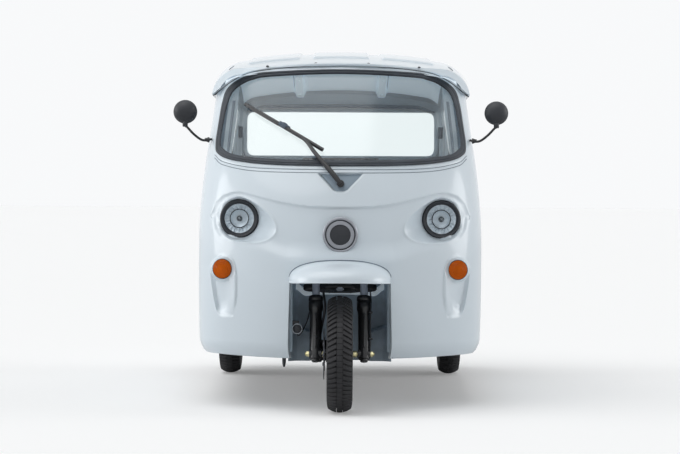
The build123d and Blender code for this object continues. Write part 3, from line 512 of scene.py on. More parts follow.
def cowl_skin():
    """The nose as one closed shell: a fine outer skin with its recesses, stitched to a coarse inner one."""
    # Columns of the half grid at the well's edge, the end of the front, the cheek's end and the rear edge.
    well, front_end, half = 48, 168, 196
    anchors = [0, well, front_end, 184, half]
    low_rows, rows, coarse = 80, 208, 4
    columns = np.arange(-half, half + 1)
    index = np.abs(columns)

    def stops(plan, well_half):
        far = np.full_like(plan.nose_u, 0.6)
        return [np.zeros_like(far), plan.length_to_x(well_half), plan.length_to_x(far),
                plan.bow_length + plan.cheek_length, plan.length_to_u(COWL_BACK_U)]

    # Heights: straight rows up to the wheel opening, then rows that rise to the belt.
    belt_plan = Plan(np.full(len(columns), 1.07))
    belt_stops = [stop[0] for stop in stops(belt_plan, WELL_HALF_HIGH)]
    span = belt_plan.point(np.interp(index, anchors, belt_stops))[0]
    bottom = COWL_LOW + 0.008 * np.minimum(span / 0.56, 1) ** 2
    top = np.interp(span, *zip(*BELT))
    j = np.arange(rows + 1)[:, None]
    z = np.where(j <= low_rows, bottom + (WELL_TOP - bottom) * j / low_rows,
                 WELL_TOP + (top - WELL_TOP) * (j - low_rows) / (rows - low_rows))
    plan = Plan(z)
    lengths = stops(plan, np.interp(z, [COWL_LOW, WELL_TOP], [WELL_HALF_LOW, WELL_HALF_HIGH]))
    s = np.zeros_like(z)
    for start, end, low, high in zip(anchors, anchors[1:], lengths, lengths[1:]):
        part = (index >= start) & (index <= end)
        s[:, part] = low[:, part] + (high - low)[:, part] * ((index[part] - start) / (end - start))
    half_x, base_u, angle = plan.point(s)
    sign = np.where(columns < 0, -1.0, 1.0)
    depth = np.zeros_like(z)
    front = index <= front_end
    shape = z[:, front].shape
    depth[:, front] = nose_depth(*(grid[:, front].ravel() for grid in (half_x, z, base_u))).reshape(shape)
    pull = tuck(z)

    def skin(setback, inward):
        """The surface set back along Y by setback and moved in along its normal by inward."""
        u = base_u + setback + (pull + inward) * np.cos(angle)
        return np.stack([sign * (half_x - (pull + inward) * np.sin(angle)), y_at(u), z], axis=-1)

    # Behind a recess the inner skin goes deeper, so that it never comes in front of the outer one.
    outer, inner = skin(depth, 0), skin(0, COWL_WALL + np.maximum(depth, 0) * 1.1)
    width = len(columns)
    vertices = list(outer.reshape(-1, 3))

    def over_well(row, column):
        return row < low_rows and -well <= column < well

    def fine(row, column):
        return row * width + column + half

    faces = [
        (fine(r, c), fine(r, c + 1), fine(r + 1, c + 1), fine(r + 1, c))
        for r in range(rows) for c in range(-half, half) if not over_well(r, c)
    ]
    inner_at = {}
    for r in range(0, rows + 1, coarse):
        for c in range(-half, half + 1, coarse):
            inner_at[r, c] = len(vertices)
            vertices.append(inner[r, c + half])
    faces += [
        (inner_at[r, c], inner_at[r + coarse, c], inner_at[r + coarse, c + coarse], inner_at[r, c + coarse])
        for r in range(0, rows, coarse) for c in range(-half, half, coarse) if not over_well(r, c)
    ]
    # Each border, as (row, column) steps of the fine grid, joins the two skins.
    borders = [[(0, c) for c in range(-half, -well + 1)], [(r, -well) for r in range(low_rows + 1)],
               [(low_rows, c) for c in range(-well, well + 1)], [(r, well) for r in range(low_rows, -1, -1)],
               [(0, c) for c in range(well, half + 1)], [(r, half) for r in range(rows + 1)],
               [(rows, c) for c in range(half, -half - 1, -1)], [(r, -half) for r in range(rows, -1, -1)]]
    for path in borders:
        for start in range(0, len(path) - 1, coarse):
            step = path[start : start + coarse + 1]
            faces.append([fine(*p) for p in step] + [inner_at[step[-1]], inner_at[step[0]]])
    order = {old: new for new, old in enumerate(sorted({i for f in faces for i in f}))}
    shape = [vertices[i] for i in order], [[order[i] for i in f] for f in faces]
    piece("cowl_skin", paint, shape, sharp=50, replaces=("front_cowl", "lamp_bezels"))


# ---------------------------------------------------------------- turned pieces, shells and tubes
def turned(profile, axis="-Y", steps=48, place=(0, 0, 0), unit=0.001):
    """A profile of (radius, along) in millimetres turned about an axis, open where it meets the axis."""
    profile = np.asarray(profile, float) * unit
    turns = (np.arange(steps) * 2 * pi / steps)[:, None]
    radius, along = profile[:, 0][None, :], np.broadcast_to(profile[:, 1], (steps, len(profile)))
    first, second = radius * np.cos(turns), radius * np.sin(turns)
    order = {"-Y": (first, -along, second), "X": (along, first, second), "Z": (first, second, along)}
    points = np.stack(order[axis], axis=-1).reshape(-1, 3) + np.asarray(place, float)
    count = len(profile)
    spans = count if profile[0, 0] > 0 and profile[-1, 0] > 0 else count - 1
    corner = lambda i, k: (i % steps) * count + k % count
    faces = [
        (corner(i, k), corner(i + 1, k), corner(i + 1, k + 1), corner(i, k + 1))
        for i in range(steps) for k in range(spans)
    ]
    return list(points), faces


def joined(*parts):
    """Several (vertices, faces) pairs as one."""
    vertices, faces = [], []
    for part_vertices, part_faces in parts:
        offset = len(vertices)
        vertices += list(part_vertices)
        faces += [[i + offset for i in face] for face in part_faces]
    return vertices, faces


def grid_faces(rows, columns, around=False):
    """The faces of a grid of points, closed in its second direction when around is true."""
    spans = columns if around else columns - 1
    at_grid = lambda r, c: r * columns + c % columns
    return [
        (at_grid(r, c), at_grid(r, c + 1), at_grid(r + 1, c + 1), at_grid(r + 1, c))
        for r in range(rows - 1) for c in range(spans)
    ]


def normals_of(points):
    """Unit normals of a grid of points."""
    across = np.gradient(points, axis=1)
    down = np.gradient(points, axis=0)
    normal = np.cross(across, down)
    return normal / (np.linalg.norm(normal, axis=-1, keepdims=True) + 1e-12)


def shell_of(points, thickness):
    """A grid of points as a closed shell: a second skin against its normals, and an edge all round."""
    rows, columns = points.shape[:2]
    behind = points - normals_of(points) * thickness
    vertices = list(points.reshape(-1, 3)) + list(behind.reshape(-1, 3))
    count = rows * columns
    front = grid_faces(rows, columns)
    faces = front + [tuple(i + count for i in reversed(f)) for f in front]
    border = (
        [(0, c) for c in range(columns)] + [(r, columns - 1) for r in range(1, rows)]
        + [(rows - 1, c) for c in range(columns - 2, -1, -1)] + [(r, 0) for r in range(rows - 2, 0, -1)]
    )
    ring = [r * columns + c for r, c in border]
    faces += [(a, b, b + count, a + count) for a, b in zip(ring, ring[1:] + ring[:1])]
    return vertices, faces


def sheet(x, u, z, thickness, side=1):
    """A shell over grids of x, u and z; side says which way its rows run, and so where its back lies."""
    return shell_of(np.stack([x, y_at(u), np.broadcast_to(z, x.shape)], axis=-1)[::side], thickness)


def ring_skin(rings, closed=False):
    """A skin over rings of points, capped at both ends or joined end to end."""
    rings = np.asarray(rings, float)
    count, sides = rings.shape[:2]
    last = (count - 1) * sides
    faces = grid_faces(count, sides, around=True)
    if closed:
        faces += [(last + c, last + (c + 1) % sides, (c + 1) % sides, c) for c in range(sides)]
    else:
        faces += [tuple(range(sides)), tuple(last + c for c in range(sides - 1, -1, -1))]
    return list(rings.reshape(-1, 3)), faces


def swept(points, radius, sides=10, closed=False, up=(0, 0, 1)):
    """A round bar along points, whose rings start from the side that faces away from up."""
    points = np.asarray(points, float)
    if closed:
        ahead, behind = np.roll(points, -1, axis=0), np.roll(points, 1, axis=0)
    else:
        ahead = np.vstack([points[1:], points[-1:]])
        behind = np.vstack([points[:1], points[:-1]])
    tangent = ahead - behind
    tangent /= np.linalg.norm(tangent, axis=1, keepdims=True) + 1e-12
    side = np.cross(tangent, np.asarray(up, float))
    weak = np.linalg.norm(side, axis=1) < 1e-4
    side[weak] = np.cross(tangent[weak], (0.0, 1.0, 0.001))
    side /= np.linalg.norm(side, axis=1, keepdims=True) + 1e-12
    over = np.cross(side, tangent)
    turns = (np.arange(sides) * 2 * pi / sides)[None, :, None]
    radius = np.broadcast_to(np.asarray(radius, float), (len(points),))[:, None, None]
    ring = side[:, None, :] * np.cos(turns) + over[:, None, :] * np.sin(turns)
    return ring_skin(points[:, None, :] + ring * radius, closed)


def on_nose(x, z, proud=0.0):
    """Points on the plain nose surface at X and Z, standing proud of it along -Y."""
    x, z = np.asarray(x, float), np.asarray(z, float)
    return np.stack([x, y_at(front_u(x, z) - proud), z], axis=-1)


def along_nose(line, proud=0.0):
    """Points on the nose along a line of (x, z), standing proud of it."""
    line = np.asarray(line)
    return on_nose(line[:, 0], line[:, 1], proud)


# ---------------------------------------------------------------- pieces on the nose
def wheel_visor():
    """The visor over the front wheel: a domed lip that grows out of the nose, with a thin dark line round its
    root as painted shadow.
    """
    foot_x, foot_z, crown_z = 0.219, 0.57, 0.655
    lip_x, lip_u, corner_u, lip_z = 0.2165, -0.243, -0.04, 0.57
    a = np.linspace(-1, 1, 72)
    turn = a * pi / 2
    root_x = foot_x * np.sign(a) * np.abs(np.sin(turn)) ** 0.86
    root_z = foot_z + (crown_z - foot_z) * np.abs(np.cos(turn)) ** 0.8
    root_u = front_u(root_x, root_z) + 0.004
    tip_x = lip_x * np.sign(a) * np.abs(np.sin(turn)) ** 0.92
    tip_u = corner_u + (lip_u - corner_u) * np.abs(np.cos(turn)) ** 0.8
    tip_z = lip_z - 0.006 * np.sin(turn) ** 2
    t = np.linspace(0, 1, 26)[:, None]
    x = root_x + (tip_x - root_x) * t**1.3
    u = root_u + (tip_u - root_u) * np.sin(t * pi / 2) ** 0.95
    z = root_z + (tip_z - root_z) * (0.25 * t + 0.75 * t**2.2)
    lip = np.stack([tip_x, y_at(tip_u + 0.003), tip_z - 0.001], axis=-1)
    piece("wheel_visor", paint, sheet(x, u, z, 0.006, -1), swept(lip, 0.0042, 8), replaces=["wheel_hood"])
    # A dark line round the visor's root: painted shadow for the gap where it meets the nose.
    seam = np.stack([root_x, y_at(front_u(root_x, root_z) - 0.0005), root_z + 0.0015], axis=-1)
    piece("visor_shadow_line", seam_grey, swept(seam[2:-2], 0.0022, 6))


# The windshield rubber's outer and inner edge, half of each, in millimetres.
SEAL_OUT = mm([(0, 1496.5), (317, 1488), (400, 1477), (460, 1457), (515, 1415), (537, 1350), (550, 1253),
               (559, 1165), (546, 1118), (470, 1086), (290, 1066), (0, 1061)])
SEAL_IN = mm([(0, 1475), (313, 1465), (390, 1454), (438, 1436), (485, 1400), (510, 1340), (525.5, 1253),
              (534, 1172), (522, 1140), (462, 1111), (288, 1092), (0, 1087)])


def both_halves(points):
    """A half outline from the top of the centre line to its bottom, closed with its mirror image."""
    return list(points) + [(-x, z) for x, z in reversed(points) if x > 0]


def windshield_rubber():
    """The black rubber round the windshield: a rounded band with a raised middle and a lip on the glass."""
    outside, within = (rounded_loop(both_halves(edge), 14) for edge in (SEAL_OUT, SEAL_IN))
    # How far each line of the section lies towards the glass, and how proud it stands.
    section = [(-0.02, -0.012), (0.0, 0.003), (0.1, 0.008), (0.25, 0.0105), (0.38, 0.0085), (0.44, 0.0065),
               (0.5, 0.0085), (0.65, 0.0095), (0.84, 0.006), (0.98, -0.001), (1.03, -0.01), (0.9, -0.02),
               (0.1, -0.02)]
    lines = [along_nose(outside + (within - outside) * part, proud) for part, proud in section]
    piece("windshield_rubber", seal_rubber, ring_skin(np.stack(lines, axis=1), closed=True),
          replaces=["windshield_seal"])


def belt_seams():
    """Two thin dark seams that follow the belt line across the nose."""
    seams = []
    for drop in (-0.0005, 0.0135):
        half = [(x, z - drop) for x, z in BELT[:4]]
        line = rounded_line([(-x, z) for x, z in half[:0:-1]] + half, 14)
        seams.append(swept(along_nose(line, 0.0002), 0.0016, 6))
    piece("belt_seams", seam_grey, *seams)


def headlamp(side, name):
    """A round lamp: black ring, faceted reflector with an inner bowl and a bulb, clear lens in front."""
    place = np.array(at(side * (LAMP_X + 0.004), LAMP_FRONT_U, LAMP_Z - 0.004))
    ring = [(83.5, -35), (84.5, -4), (83, 1), (80, 3.5), (76.5, 3), (73.5, 0.5), (70, -3), (66.5, -6),
            (64, -10), (64, -35)]
    piece(f"lamp_ring_{name}", trim_black, turned(ring, steps=72, place=place),
          replaces=["headlamp_housings"] if side > 0 else ())
    steps, rows = 72, []
    bowl = mm([(64, -10), (60, -12.5), (54, -15), (48, -17), (42.5, -18.5), (40, -17), (38, -18.5), (33, -22),
               (26, -25.5), (18, -27.5), (12, -28.5)])
    turns = np.arange(steps) * 2 * pi / steps
    for radius, along in bowl:
        phase = 0.9 if int(radius * 1000) % 2 else 0
        dent = 0.0016 * np.sign(np.sin(turns * 18 + phase)) * (0.041 < radius < 0.063)
        ring = [radius * np.cos(turns), -(along + dent), radius * np.sin(turns)]
        rows.append(np.stack(ring, axis=-1) + place)
    facets = list(np.concatenate(rows)), grid_faces(len(bowl), steps, around=True)
    back = turned([(64.5, -10), (64.5, -26), (50, -31), (0, -31)], place=place)
    piece(f"lamp_reflector_{name}", chrome, facets, back, sharp=25)
    band = [(42, -16.5), (40.5, -14.5), (38.5, -15.5), (38.5, -20), (42, -20)]
    piece(f"lamp_band_{name}", trim_black, turned(band, steps=64, place=place))
    bulb = [(0, -13), (6, -14), (9.5, -17), (10.5, -21), (12, -23), (13, -29.5), (0, -29.5)]
    piece(f"lamp_bulb_{name}", bulb_finish, turned(bulb, steps=32, place=place))
    lens = [(64.2, -13), (64.2, -10), (58, -6), (46, -2), (30, 1.2), (14, 2.6), (0, 3)]
    back = [(r * 0.97, a - 2.5) for r, a in reversed(lens[1:])]
    piece(f"lamp_lens_{name}", lamp_glass, turned(lens + back, steps=64, place=place),
          replaces=["headlamp_lenses"] if side > 0 else ())


def indicator_lamp(side, name):
    """A round amber lens with moulded rings on a white seat."""
    centre = at(side * DISC_X, front_u(DISC_X - 0.012, DISC_Z), DISC_Z)
    place = Matrix.Translation(centre) @ Matrix.Rotation(radians(11) * side, 4, "Z")
    lens = [(40.5, -6), (41.2, 4), (40, 7.5), (36.5, 9.5), (33.5, 8.5), (30.5, 10.5), (27, 9.5), (23.5, 12),
            (20, 11.2), (16.5, 13.2), (12, 12.5), (8.5, 14.5), (0, 15)]
    piece(f"indicator_lens_{name}", amber, moved(turned(lens, steps=64), place),
          replaces=["indicators"] if side > 0 else ())
    rim = [(41, -6), (43.5, -6), (44, 2), (42.5, 3.5), (41.2, 2)]
    piece(f"indicator_rim_{name}", trim_black, moved(turned(rim, steps=64), place))


def nose_roundel():
    """A plain round plate on the nose: a bright ring round a dark domed middle."""
    centre = at(0, front_u(0.0, BADGE_Z) + 0.006, BADGE_Z)
    place = Matrix.Translation(centre) @ Matrix.Rotation(radians(4), 4, "X")
    for name, finish, profile in (
        ("rim", satin_metal, [(66, -6), (75.5, -6), (75.5, 4), (73.5, 6.2), (67.5, 6.6), (65.5, 4.5)]),
        ("dark", trim_black, [(60, -6), (65.6, -6), (65.6, 3.5), (60, 3.5)]),
        ("band", satin_metal, [(44, -6), (60.2, -6), (60.2, 4), (58.5, 5.6), (45.5, 6.2), (44, 4.5)]),
        ("middle", trim_black, [(44.2, -6), (44.2, 3), (38, 4.6), (25, 6.6), (0, 8)]),
    ):
        piece(f"roundel_{name}", finish, moved(turned(profile, steps=96), place),
              replaces=["nose_disc"] if name == "middle" else ())


# ---------------------------------------------------------------- tyres
CROWN_R, TREAD_HALF, CROWN_SAG_R = 0.2512, 0.049, 0.079


def crown(x):
    """The tyre's outer radius at a distance x from its middle."""
    return CROWN_R - (CROWN_SAG_R - np.sqrt(CROWN_SAG_R**2 - np.minimum(np.abs(x), TREAD_HALF + 0.004) ** 2))


def tread_block(stations, turn, slant, width, depth=0.0075):
    """One lug: a bar across the crown whose ends lean round the tyre by slant for each metre of x."""
    edge, foot = 0.0012, 0.0015
    rings = []
    for x in stations:
        top, low = crown(x), crown(x) - depth
        half = [(low, width / 2 + foot), (top - edge, width / 2), (top, width / 2 - edge)]
        section = [(radius, -offset) for radius, offset in half] + half[::-1]
        angles = [(radius, turn + slant * abs(x) + offset / CROWN_R) for radius, offset in section]
        rings.append([(x, radius * cos(a), radius * sin(a)) for radius, a in angles])
    return ring_skin(rings)


def tyre(name, place, body, node):
    """A tyre with a broken centre rib, slanted side lugs and moulded lines on its walls."""
    base = 0.0075
    wall = [(52, 229), (54.5, 214), (55, 205), (55.6, 204), (55.4, 201), (54.5, 200), (53.5, 189), (50, 178),
            (49.2, 177.2), (48, 173), (40, 169), (36, 156)]
    half = [(x, crown(x) - base) for x in (0.0, 0.02, 0.036, 0.0475)] + mm(wall)
    inner = mm([(156, -26), (190, -40), (225, -36), (237, 0), (225, 36), (190, 40), (156, 26)])
    profile = [(radius, x) for x, radius in half] + [(radius, -x) for x, radius in reversed(half[1:])] + inner
    parts = [turned(profile, axis="X", steps=144, unit=1)]
    lugs = 64
    for i in range(lugs):
        turn = i * 2 * pi / lugs
        parts.append(tread_block([-0.0125, -0.011, 0.0, 0.011, 0.0125], turn, 0.0, 0.0238, 0.007))
        for side, phase in ((1, 0.15), (-1, 0.65)):
            wide = [side * x for x in (0.0142, 0.0165, 0.029, 0.038, 0.047, 0.0505)]
            parts.append(tread_block(wide, turn + phase * 2 * pi / lugs, 1.9, 0.0158))
    vertices, faces = joined(*parts)
    piece(name, rubber, (vertices + np.asarray(place), faces), sharp=35, body=body, replaces=[node])


# ---------------------------------------------------------------- bevelled blocks, bolts and plates
def soft_box(low, high, bevel=0.004, segments=3):
    """Vertices and faces of a block between two corners with rounded edges."""
    low, high = Vector(low), Vector(high)
    size = high - low
    mesh = bmesh.new()
    bmesh.ops.create_cube(mesh, size=1.0)
    bmesh.ops.scale(mesh, vec=size, verts=mesh.verts)
    offset = min(bevel, min(size) * 0.48)
    bmesh.ops.bevel(mesh, geom=mesh.edges[:], offset=offset, segments=segments, profile=0.5, affect="EDGES")
    bmesh.ops.translate(mesh, vec=(low + high) / 2, verts=mesh.verts)
    mesh.verts.index_update()
    shape = [tuple(v.co) for v in mesh.verts], [[v.index for v in f.verts] for f in mesh.faces]
    mesh.free()
    return shape


def moved(shape, matrix):
    """A (vertices, faces) pair, its vertices moved by a matrix."""
    vertices, faces = shape
    return [tuple(matrix @ Vector(v)) for v in vertices], faces


def standing(axis):
    """A rotation that takes Z to an axis."""
    return Vector(axis).to_track_quat("Z", "Y").to_matrix().to_4x4()


def bolt(place, axis=(0, 0, 1), across=12, height=6, washer=0):
    """A hexagon bolt head in millimetres, chamfered, on a washer if one is given, standing along axis."""
    radius = across / sqrt(3)
    head = [(0, 0), (radius, 0), (radius, height * 0.82), (radius * 0.84, height), (0, height)]
    parts = [turned(head, "Z", 6)]
    if washer:
        parts.append(turned([(0, 0), (washer, 0), (washer, 1.4), (0, 1.4)], "Z", 24))
    return moved(joined(*parts), Matrix.Translation(place) @ standing(axis))


def outward(loop):
    """Unit normals of a closed loop of 2-D points, pointing out of it."""
    ahead, behind = np.roll(loop, -1, axis=0), np.roll(loop, 1, axis=0)
    run = ahead - behind
    out = np.stack([run[:, 1], -run[:, 0]], axis=1)
    out /= np.linalg.norm(out, axis=1, keepdims=True) + 1e-12
    area = np.sum(loop[:, 0] * ahead[:, 1] - ahead[:, 0] * loop[:, 1])
    return out * (1 if area > 0 else -1)


def plate(outline, low, high, bevel):
    """A flat plate over a closed outline in its local X and Y, from low to high, with rounded edges."""
    out = outward(outline)
    part = bevel * 0.3
    edge = [(bevel, low), (part, low + part), (0, low + bevel)]
    edge += [(0, high - bevel), (part, high - part), (bevel, high)]
    level = np.ones(len(outline))
    return ring_skin([np.column_stack([outline - out * inset, level * z]) for inset, z in edge])


def cornered(points, radius, steps=6):
    """A closed polyline with its corners rounded by arcs, as a list of 2-D points."""
    result = []
    count = len(points)
    for i, corner in enumerate(points):
        corner = Vector(corner)
        before, after = Vector(points[i - 1]) - corner, Vector(points[(i + 1) % count]) - corner
        reach = min(radius, before.length * 0.48, after.length * 0.48)
        start, end = corner + before.normalized() * reach, corner + after.normalized() * reach
        for k in range(steps + 1):
            t = k / steps
            result.append(tuple((1 - t) ** 2 * start + 2 * t * (1 - t) * corner + t**2 * end))
    return result


# ---------------------------------------------------------------- the fork, its axle and brake
LEAN = Matrix.Rotation(-radians(21), 4, "X")
FORK = Matrix.Translation(at(0, 0, AXLE_Z)) @ LEAN
STEM_BACK = 0.03
LEG_X = 0.1045
CROWN_LOW, CROWN_HIGH = 0.2925, 0.32
AXLE = at(0, 0, AXLE_Z)


def fork_leg(side, name):
    """A lower fork leg: foot with its bolt, slim tube, collar with a dust lip, and the lug for the axle."""
    tube = [(0, -34.5), (15, -34.5), (16.5, -32.5), (17, -26), (22.5, -24), (24, -20), (25, 0), (25.5, 100),
            (26.2, 178), (26.8, 189), (30.5, 197), (31.8, 203), (31.8, 230), (30.2, 233), (30.2, 238),
            (31.8, 241), (31.8, 255), (28.5, 259.5), (20, 260.5), (0, 260.5)]
    lug = [(0, -27), (20.5, -27), (21.8, -25.5), (21.8, 25.5), (20.5, 27), (0, 27)]
    rib = soft_box((-0.004, -0.033, 0.02), (0.004, -0.0235, 0.17), 0.003)
    drain = bolt((0, -0.025, 0.145), (0, -1, 0), 9, 4)
    clamp = soft_box((-0.01, 0.018, -0.02), (0.01, 0.034, 0.02))
    pinch = bolt((0, 0.034, 0.0), (0, 1, 0), 10, 5)
    shape = joined(turned(tube, "Z", 40), turned(lug, "X", 32), rib, drain, clamp, pinch)
    piece(f"fork_leg_{name}", gloss_black, moved(shape, FORK @ Matrix.Translation((side * LEG_X, 0, 0))),
          body="steering", replaces=["fork_legs"] if side > 0 else ())


def fork_head():
    """The fork's crown, the two bright stanchions, the stem and the nut under it."""
    half = mm([(0, -28), (50, -26), (72, -14), (88, -4), (120, -4), (142, -2), (160, 10), (148, 32),
               (120, 40), (80, 44), (50, 54), (0, 54)])
    outline = rounded_loop(half + [(-x, y) for x, y in reversed(half[1:-1])], 6)
    ears = [bolt((side * 0.15, 0.02, 0.306), (side, 0, 0), 11) for side in (-1, 1)]
    stem = [[(0, 300), (18.5, 300), (18.5, 790), (16.5, 798), (0, 800)]]
    stem += [[(18.5, a), (22.2, a), (22.2, a + 22), (18.5, a + 22)] for a in (406, 548)]
    stem_parts = [turned(profile, "Z", 32, (0, STEM_BACK, 0)) for profile in stem]
    crown_parts = joined(plate(outline, CROWN_LOW, CROWN_HIGH, 0.006), stem_parts[0], *ears, *stem_parts[1:])
    piece("fork_crown", gloss_black, moved(crown_parts, FORK), body="steering", replaces=["steering_stem"])
    tube = [(0, 256), (17, 256), (17, 330), (14, 334), (0, 334)]
    nut = turned([(0, 286), (15, 286), (17.5, 288), (17.5, 294), (0, 294)], "Z", 6, (0, -0.012, 0))
    tubes = [turned(tube, "Z", 36, (side * LEG_X, 0, 0)) for side in (-1, 1)]
    piece("fork_stanchions", stanchion_grey, moved(joined(*tubes, nut), FORK), body="steering")


def front_axle_fittings():
    """The axle with its spacers, washers, nuts and threaded ends, in yellow zinc."""
    def rod(low, high, radius, steps=32):
        return turned([(0, low), (radius, low), (radius, high), (0, high)], "X", steps, AXLE)

    parts = [rod(-148.5, 148.5, 7.5, 24)]
    for low, high in ((-76, -70.8), (44.5, 75.8)):
        spacer = [(8.5, low), (13, low), (13.8, low + 1), (13.8, high - 1), (13, high), (8.5, high)]
        parts.append(turned(spacer, "X", 32, AXLE))
    for side in (-1, 1):
        parts.append(rod(*sorted((side * 132.7, side * 135)), 13.8))
        parts.append(rod(*sorted((side * 135, side * 143)), 12.5, 6))
    for i in range(6):
        for side in (-1, 1):
            x = 143.6 + i * 0.8
            thread_turn = [(7, side * x), (7.9, side * (x + 0.4)), (7, side * (x + 0.8))]
            parts.append(turned(thread_turn, "X", 20, AXLE))
    piece("front_axle_fittings", yellow_zinc, *parts, body="steering", replaces=["front_axle"])


def brake_parts():
    """A drilled brake disc on its carrier, and a caliper with its two pistons' housings and bolts."""
    disc_x, half = -0.068, 0.002
    turns, rows = 120, 7
    vertices, faces = [], []
    radii = np.linspace(0.07, 0.108, rows)
    for side in (-1, 1):
        for radius in radii:
            for i in range(turns):
                a = i * 2 * pi / turns
                r = radius + (0.0018 * cos(a * 12) if radius in (radii[0], radii[-1]) else 0)
                vertices.append((disc_x + side * half, y_at(0) + r * cos(a), AXLE_Z + r * sin(a)))
    layer = rows * turns
    for r in range(rows - 1):
        for i in range(turns):
            if r in (1, 4) and i % 5 == (0 if r == 1 else 2):
                continue
            j = (i + 1) % turns
            face = (r * turns + i, (r + 1) * turns + i, (r + 1) * turns + j, r * turns + j)
            faces += [face, tuple(k + layer for k in reversed(face))]
    edges = dict.fromkeys(pair for face in faces[0::2] for pair in zip(face, face[1:] + face[:1]))
    faces += [(b, a, a + layer, b + layer) for a, b in edges if (b, a) not in edges]
    place = Matrix.Translation((disc_x + 0.001, y_at(0), AXLE_Z))
    turned_by = [place @ Matrix.Rotation(i * pi / 3, 4, "X") for i in range(6)]
    carrier = [moved(soft_box((-0.0035, 0.028, -0.007), (0.0035, 0.078, 0.007), 0.002), m) for m in turned_by]
    bolts = [bolt(m @ Vector((-0.0035, 0.05, 0)), (-1, 0, 0), 11, 4) for m in turned_by]
    hub = turned([(9.2, -70.5), (36, -70.5), (38, -69), (38, -62.5), (9.2, -62.5)], "X", 40, AXLE)
    piece("brake_rotor", steel_disc, (vertices, faces), *carrier, *bolts, hub, body="front_wheel",
          replaces=["brake_disc"])
    front, back, low, high = 0.05, 0.114, AXLE_Z - 0.04, AXLE_Z + 0.058
    shell = [
        soft_box(at(-0.0985, front, low), at(-0.0765, back, high), 0.008, 4),
        soft_box(at(-0.06, front, low), at(-0.055, back, high), 0.0024, 3),
        soft_box(at(-0.0985, 0.0965, low + 0.004), at(-0.056, back + 0.002, high - 0.004), 0.006, 4),
        soft_box(at(-0.112, 0.03, AXLE_Z - 0.008), at(-0.096, 0.07, AXLE_Z + 0.048), 0.006, 4),
    ]
    piston = turned([(0, 0), (17, 0), (19, 2), (19, 8), (0, 8)], "Z", 32)
    for z in (AXLE_Z - 0.014, AXLE_Z + 0.03):
        place = Matrix.Translation(at(-0.0985, 0.08, z)) @ Matrix.Rotation(-pi / 2, 4, "Y")
        shell.append(moved(piston, place))
    shell += [bolt(at(-0.112, 0.05, z), (-1, 0, 0), 10, 5) for z in (AXLE_Z + 0.004, AXLE_Z + 0.036)]
    piece("caliper_shell", gloss_black, *shell, body="steering", replaces=["brake_caliper"])


# ---------------------------------------------------------------- the wheel well and the horn
WELL_SIDE, WELL_BACK_U, WELL_ROOF = 0.229, 0.372, 0.599


def liner_back_u(x, z):
    """The well's back wall: hollow behind the wheel, with a fuller lower panel at each side."""
    reach = np.sqrt((np.abs(x) / 0.112) ** 6 + (np.maximum(z - 0.3, 0) / 0.215) ** 6)
    hollow = smooth((1.06 - reach) / 0.16)
    edge_z = 0.362 - 0.024 * (WELL_SIDE - np.abs(x)) / 0.075
    full = smooth((edge_z - z) / 0.006) * smooth((np.abs(x) - 0.126) / 0.01)
    corner = smooth((np.abs(x) - (WELL_SIDE - 0.04)) / 0.04)
    return WELL_BACK_U - 0.034 + hollow * 0.026 - full * 0.03 - corner * 0.025


def wheel_liner():
    """The well's liner: a shaped back wall, two side walls and a roof, open below and in front."""
    x, z = np.meshgrid(np.linspace(-WELL_SIDE, WELL_SIDE, 81), np.linspace(COWL_LOW - 0.03, WELL_ROOF, 70))
    parts = [sheet(x, liner_back_u(x, z), z, 0.003, -1)]
    returns = []
    for side in (-1, 1):
        t, z = np.meshgrid(np.linspace(0, 1, 26), np.linspace(COWL_LOW + 0.002, WELL_ROOF, 34))
        front = front_u(WELL_SIDE, z) + 0.026
        u = front + t * (WELL_BACK_U - 0.055 - front)
        swell = 0.006 * smooth((t - 0.3) / 0.1) * smooth((0.92 - t) / 0.1) * smooth((z - 0.3) / 0.05)
        parts.append(sheet(side * (WELL_SIDE + 0.0005 - swell), u, z, 0.002, side))
        t, z = np.meshgrid(np.linspace(0, 1, 6), np.linspace(COWL_LOW + 0.03, 0.556, 30))
        u = front_u(WELL_SIDE, z) + 0.029 + 0.004 * t
        returns.append(sheet(side * (WELL_SIDE - 0.001 - t * 0.0235), u, z, 0.002, -side))
    x, t = np.meshgrid(np.linspace(-WELL_SIDE, WELL_SIDE, 30), np.linspace(0, 1, 20))
    front = front_u(x, np.full_like(x, WELL_ROOF)) + 0.03
    parts.append(sheet(x, front + t * (WELL_BACK_U - 0.034 - front), WELL_ROOF, 0.003))
    piece("wheel_liner", liner_grey, *parts, replaces=["wheel_well"])
    piece("well_returns", liner_return, *returns)


def well_bridge():
    """A pressed bar across the well behind the fork, with its two screws and its drooping ends."""
    edge = [(0, -1), (-0.01, -0.8), (-0.013, -0.3), (-0.013, 0.3), (-0.01, 0.8), (0, 1)]
    section = edge + [(0.036, 1), (0.036, -1)]
    rings = []
    for x in np.linspace(-0.196, 0.196, 65):
        ends = smooth((abs(x) - 0.15) / 0.05)
        u, middle = 0.292 + 0.012 * ends, 0.5035 + 0.003 * cos(x * 12) + 0.03 * ends
        tall = 0.0115 + 0.004 * smooth((abs(x) - 0.11) / 0.04)
        rings.append([at(x, u + du, middle + part * tall) for du, part in section])
    # The bar's finish glows: painted light that brightens it.
    piece("well_bridge", headliner_painted_glow, ring_skin(rings), slot="floor_steel", sharp=50)
    screws = [bolt(at(side * 0.047, 0.2785, 0.5085), (0, -1, 0), 11, 4, 8) for side in (-1, 1)]
    piece("well_screws", trim_black, *screws)


